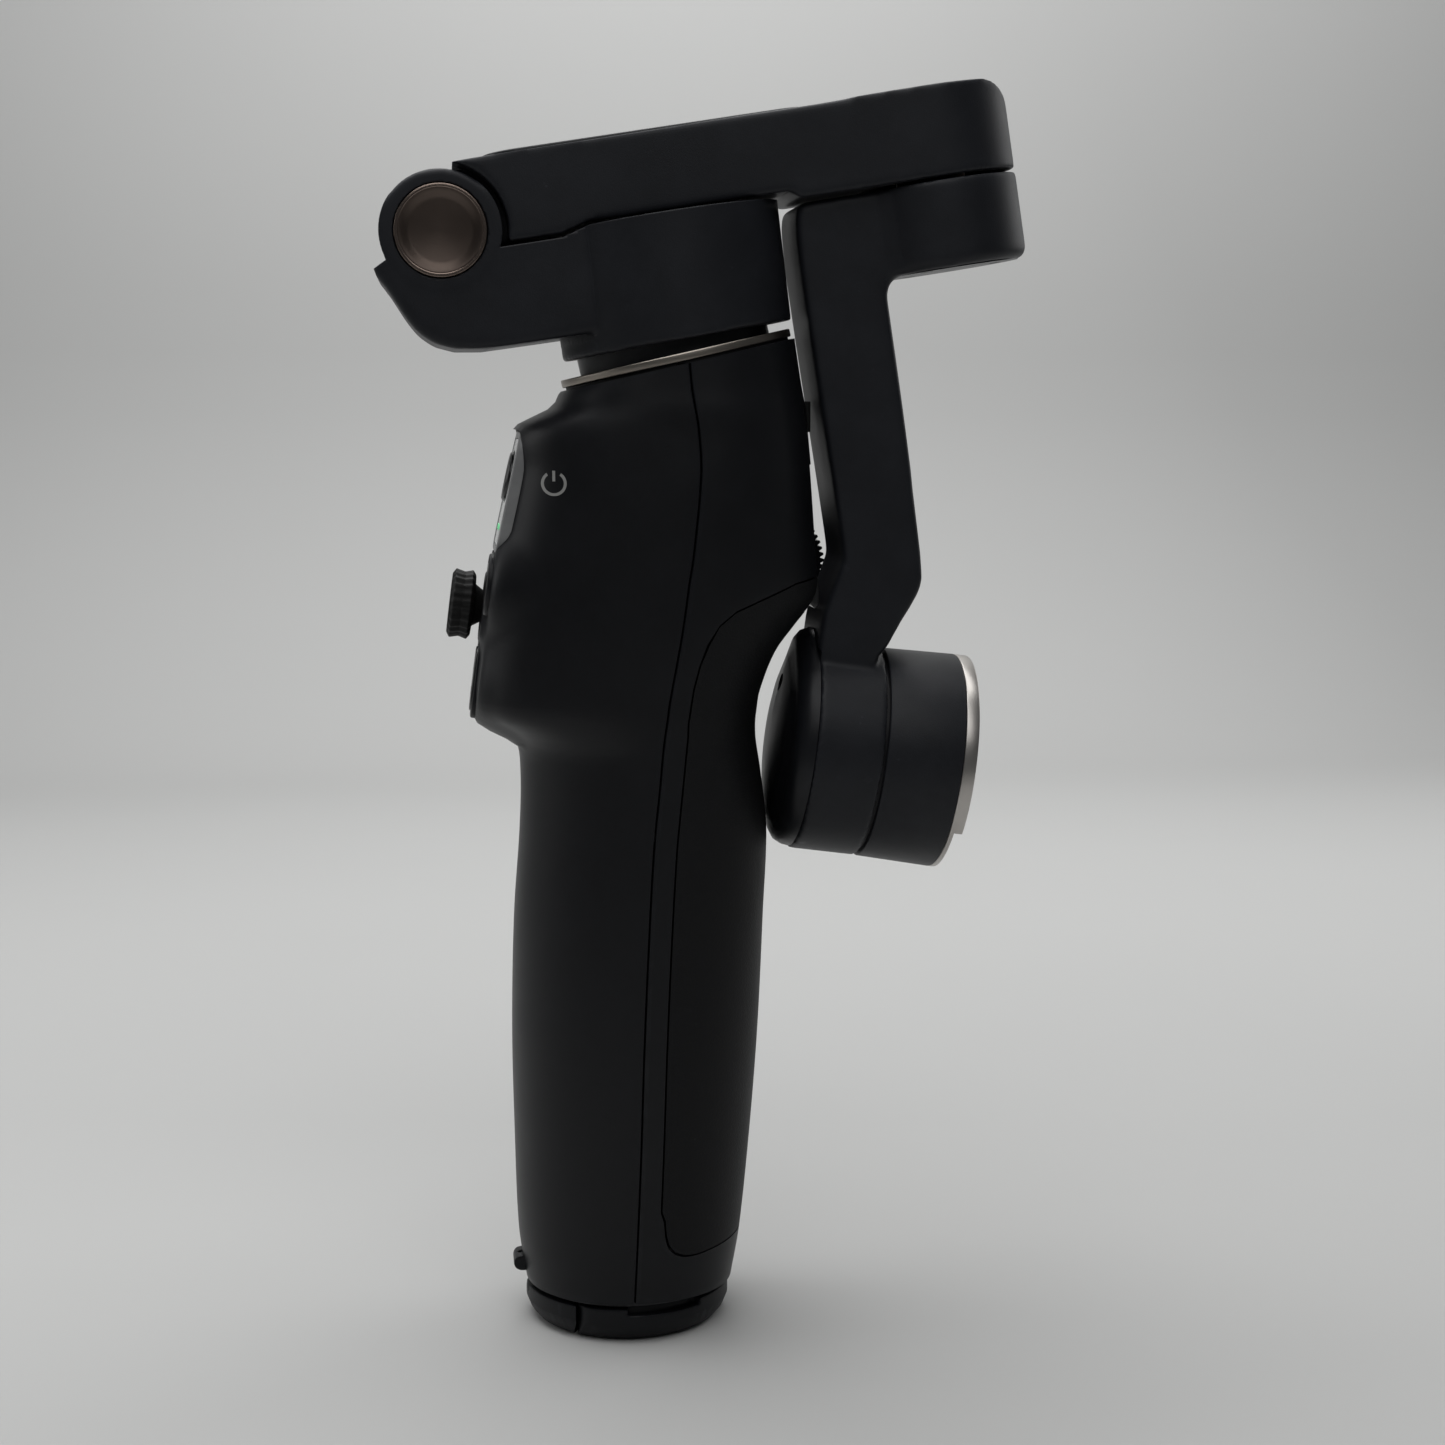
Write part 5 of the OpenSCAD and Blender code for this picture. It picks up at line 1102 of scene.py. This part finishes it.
class GIMBAL_OT_stage(PieceOperator, bpy.types.Operator):
    """Makes the floor with its backdrop, the lights and the camera"""

    bl_idname = "gimbal.stage"
    bl_label = "Stage"

    def make(self, scene):
        self.sweep(scene.gimbal_stage)
        self.lights(scene, scene.gimbal_stage)
        self.camera(scene)

    def sweep(self, sizes):
        """Floor that curves up into a wall behind the object."""
        front, run, bend, wall, half_width = -0.9, sizes.reach, 0.16, 0.9, 1.6
        quarter = bend * math.pi / 2
        length = run - front + quarter + wall
        bm = bmesh.new()
        bmesh.ops.create_grid(bm, x_segments=24, y_segments=96, size=1)
        for vert in bm.verts:
            along = front + length * (vert.co.y + 1) / 2
            x = vert.co.x * half_width
            past = along - run
            if past <= 0:
                vert.co = Vector((x, along, 0))
            elif past < quarter:
                a = past / bend
                vert.co = Vector((x, run + bend * math.sin(a), bend * (1 - math.cos(a))))
            else:
                vert.co = Vector((x, run + bend, bend + past - quarter))
        obj = new_object("floor_sweep", bm)
        obj.data.materials.append(stage_finish("sweep", tuple(sizes.floor_colour), sizes.bounce))
        obj.data.shade_smooth()

    def lights(self, scene, sizes):
        world = bpy.data.worlds.new("light_all_around")
        scene.world = world
        world.use_nodes = True
        background = world.node_tree.nodes["Background"]
        background.inputs["Color"].default_value = (0.93, 0.97, 1.0, 1)
        background.inputs["Strength"].default_value = sizes.world
        centre = Vector((0.01, 0, 0.1))
        lamps = {
            "lamp_above": ((-0.05, 0.12, 0.62), 0.6, sizes.key, centre),
            "lamp_front": ((-0.55, 0.1, 0.3), 0.35, sizes.side, centre),
            "lamp_back": ((0.5, 0.28, 0.32), 0.35, sizes.side, centre),
            "lamp_high": ((0.02, -0.27, 0.42), 0.3, sizes.high, Vector((0.02, 0, 0.17))),
            "lamp_backdrop": ((0.1, 0.35, 0.75), 0.5, sizes.backdrop, Vector((0.15, 0.72, 0.62))),
        }
        for name, (place, size, power, aim) in lamps.items():
            data = bpy.data.lights.new(name, "AREA")
            data.shape = "SQUARE"
            data.size = size
            data.energy = power
            lamp = linked(name, data)
            lamp.location = place
            lamp.rotation_euler = (aim - Vector(place)).to_track_quat("-Z", "Y").to_euler()

    def camera(self, scene):
        data = bpy.data.cameras.new("camera")
        data.lens = 59.8
        data.clip_start = 0.02
        camera = linked("camera", data)
        camera.location = (-0.0269, -0.3633, 0.1402)
        view = Vector((0.1140, 0.9850, -0.1288))
        camera.rotation_euler = view.to_track_quat("-Z", "Y").to_euler()
        scene.camera = camera
        scene.view_settings.view_transform = "Standard"


class GIMBAL_PT_pieces(bpy.types.Panel):
    """Lists the pieces of the gimbal"""

    bl_label = "Gimbal"
    bl_idname = "GIMBAL_PT_pieces"
    bl_space_type = "VIEW_3D"
    bl_region_type = "UI"
    bl_category = "Gimbal"

    def draw(self, context):
        for operator in OPERATORS:
            self.layout.operator(operator.bl_idname)
        for name, group in GROUPS.items():
            box = self.layout.box()
            for key in group.__annotations__:
                box.prop(getattr(context.scene, name), key)


OPERATORS = [
    GIMBAL_OT_construction,
    GIMBAL_OT_handle,
    GIMBAL_OT_controls,
    GIMBAL_OT_pan_motor,
    GIMBAL_OT_fold_arm,
    GIMBAL_OT_tilt_arm,
    GIMBAL_OT_base,
    GIMBAL_OT_stage,
]
GROUPS = {
    "gimbal_handle": HandleSizes,
    "gimbal_covers": CoverSizes,
    "gimbal_colours": FinishColours,
    "gimbal_stage": StageSizes,
}
CLASSES = [*GROUPS.values(), *OPERATORS, GIMBAL_PT_pieces]


def register():
    for cls in CLASSES:
        bpy.utils.register_class(cls)
    for name, group in GROUPS.items():
        setattr(bpy.types.Scene, name, PointerProperty(type=group))


def unregister():
    for name in GROUPS:
        delattr(bpy.types.Scene, name)
    for cls in reversed(CLASSES):
        bpy.utils.unregister_class(cls)


def main():
    register()
    for operator in OPERATORS:
        group, name = operator.bl_idname.split(".")
        getattr(getattr(bpy.ops, group), name)()


if __name__ == "__main__":
    main()
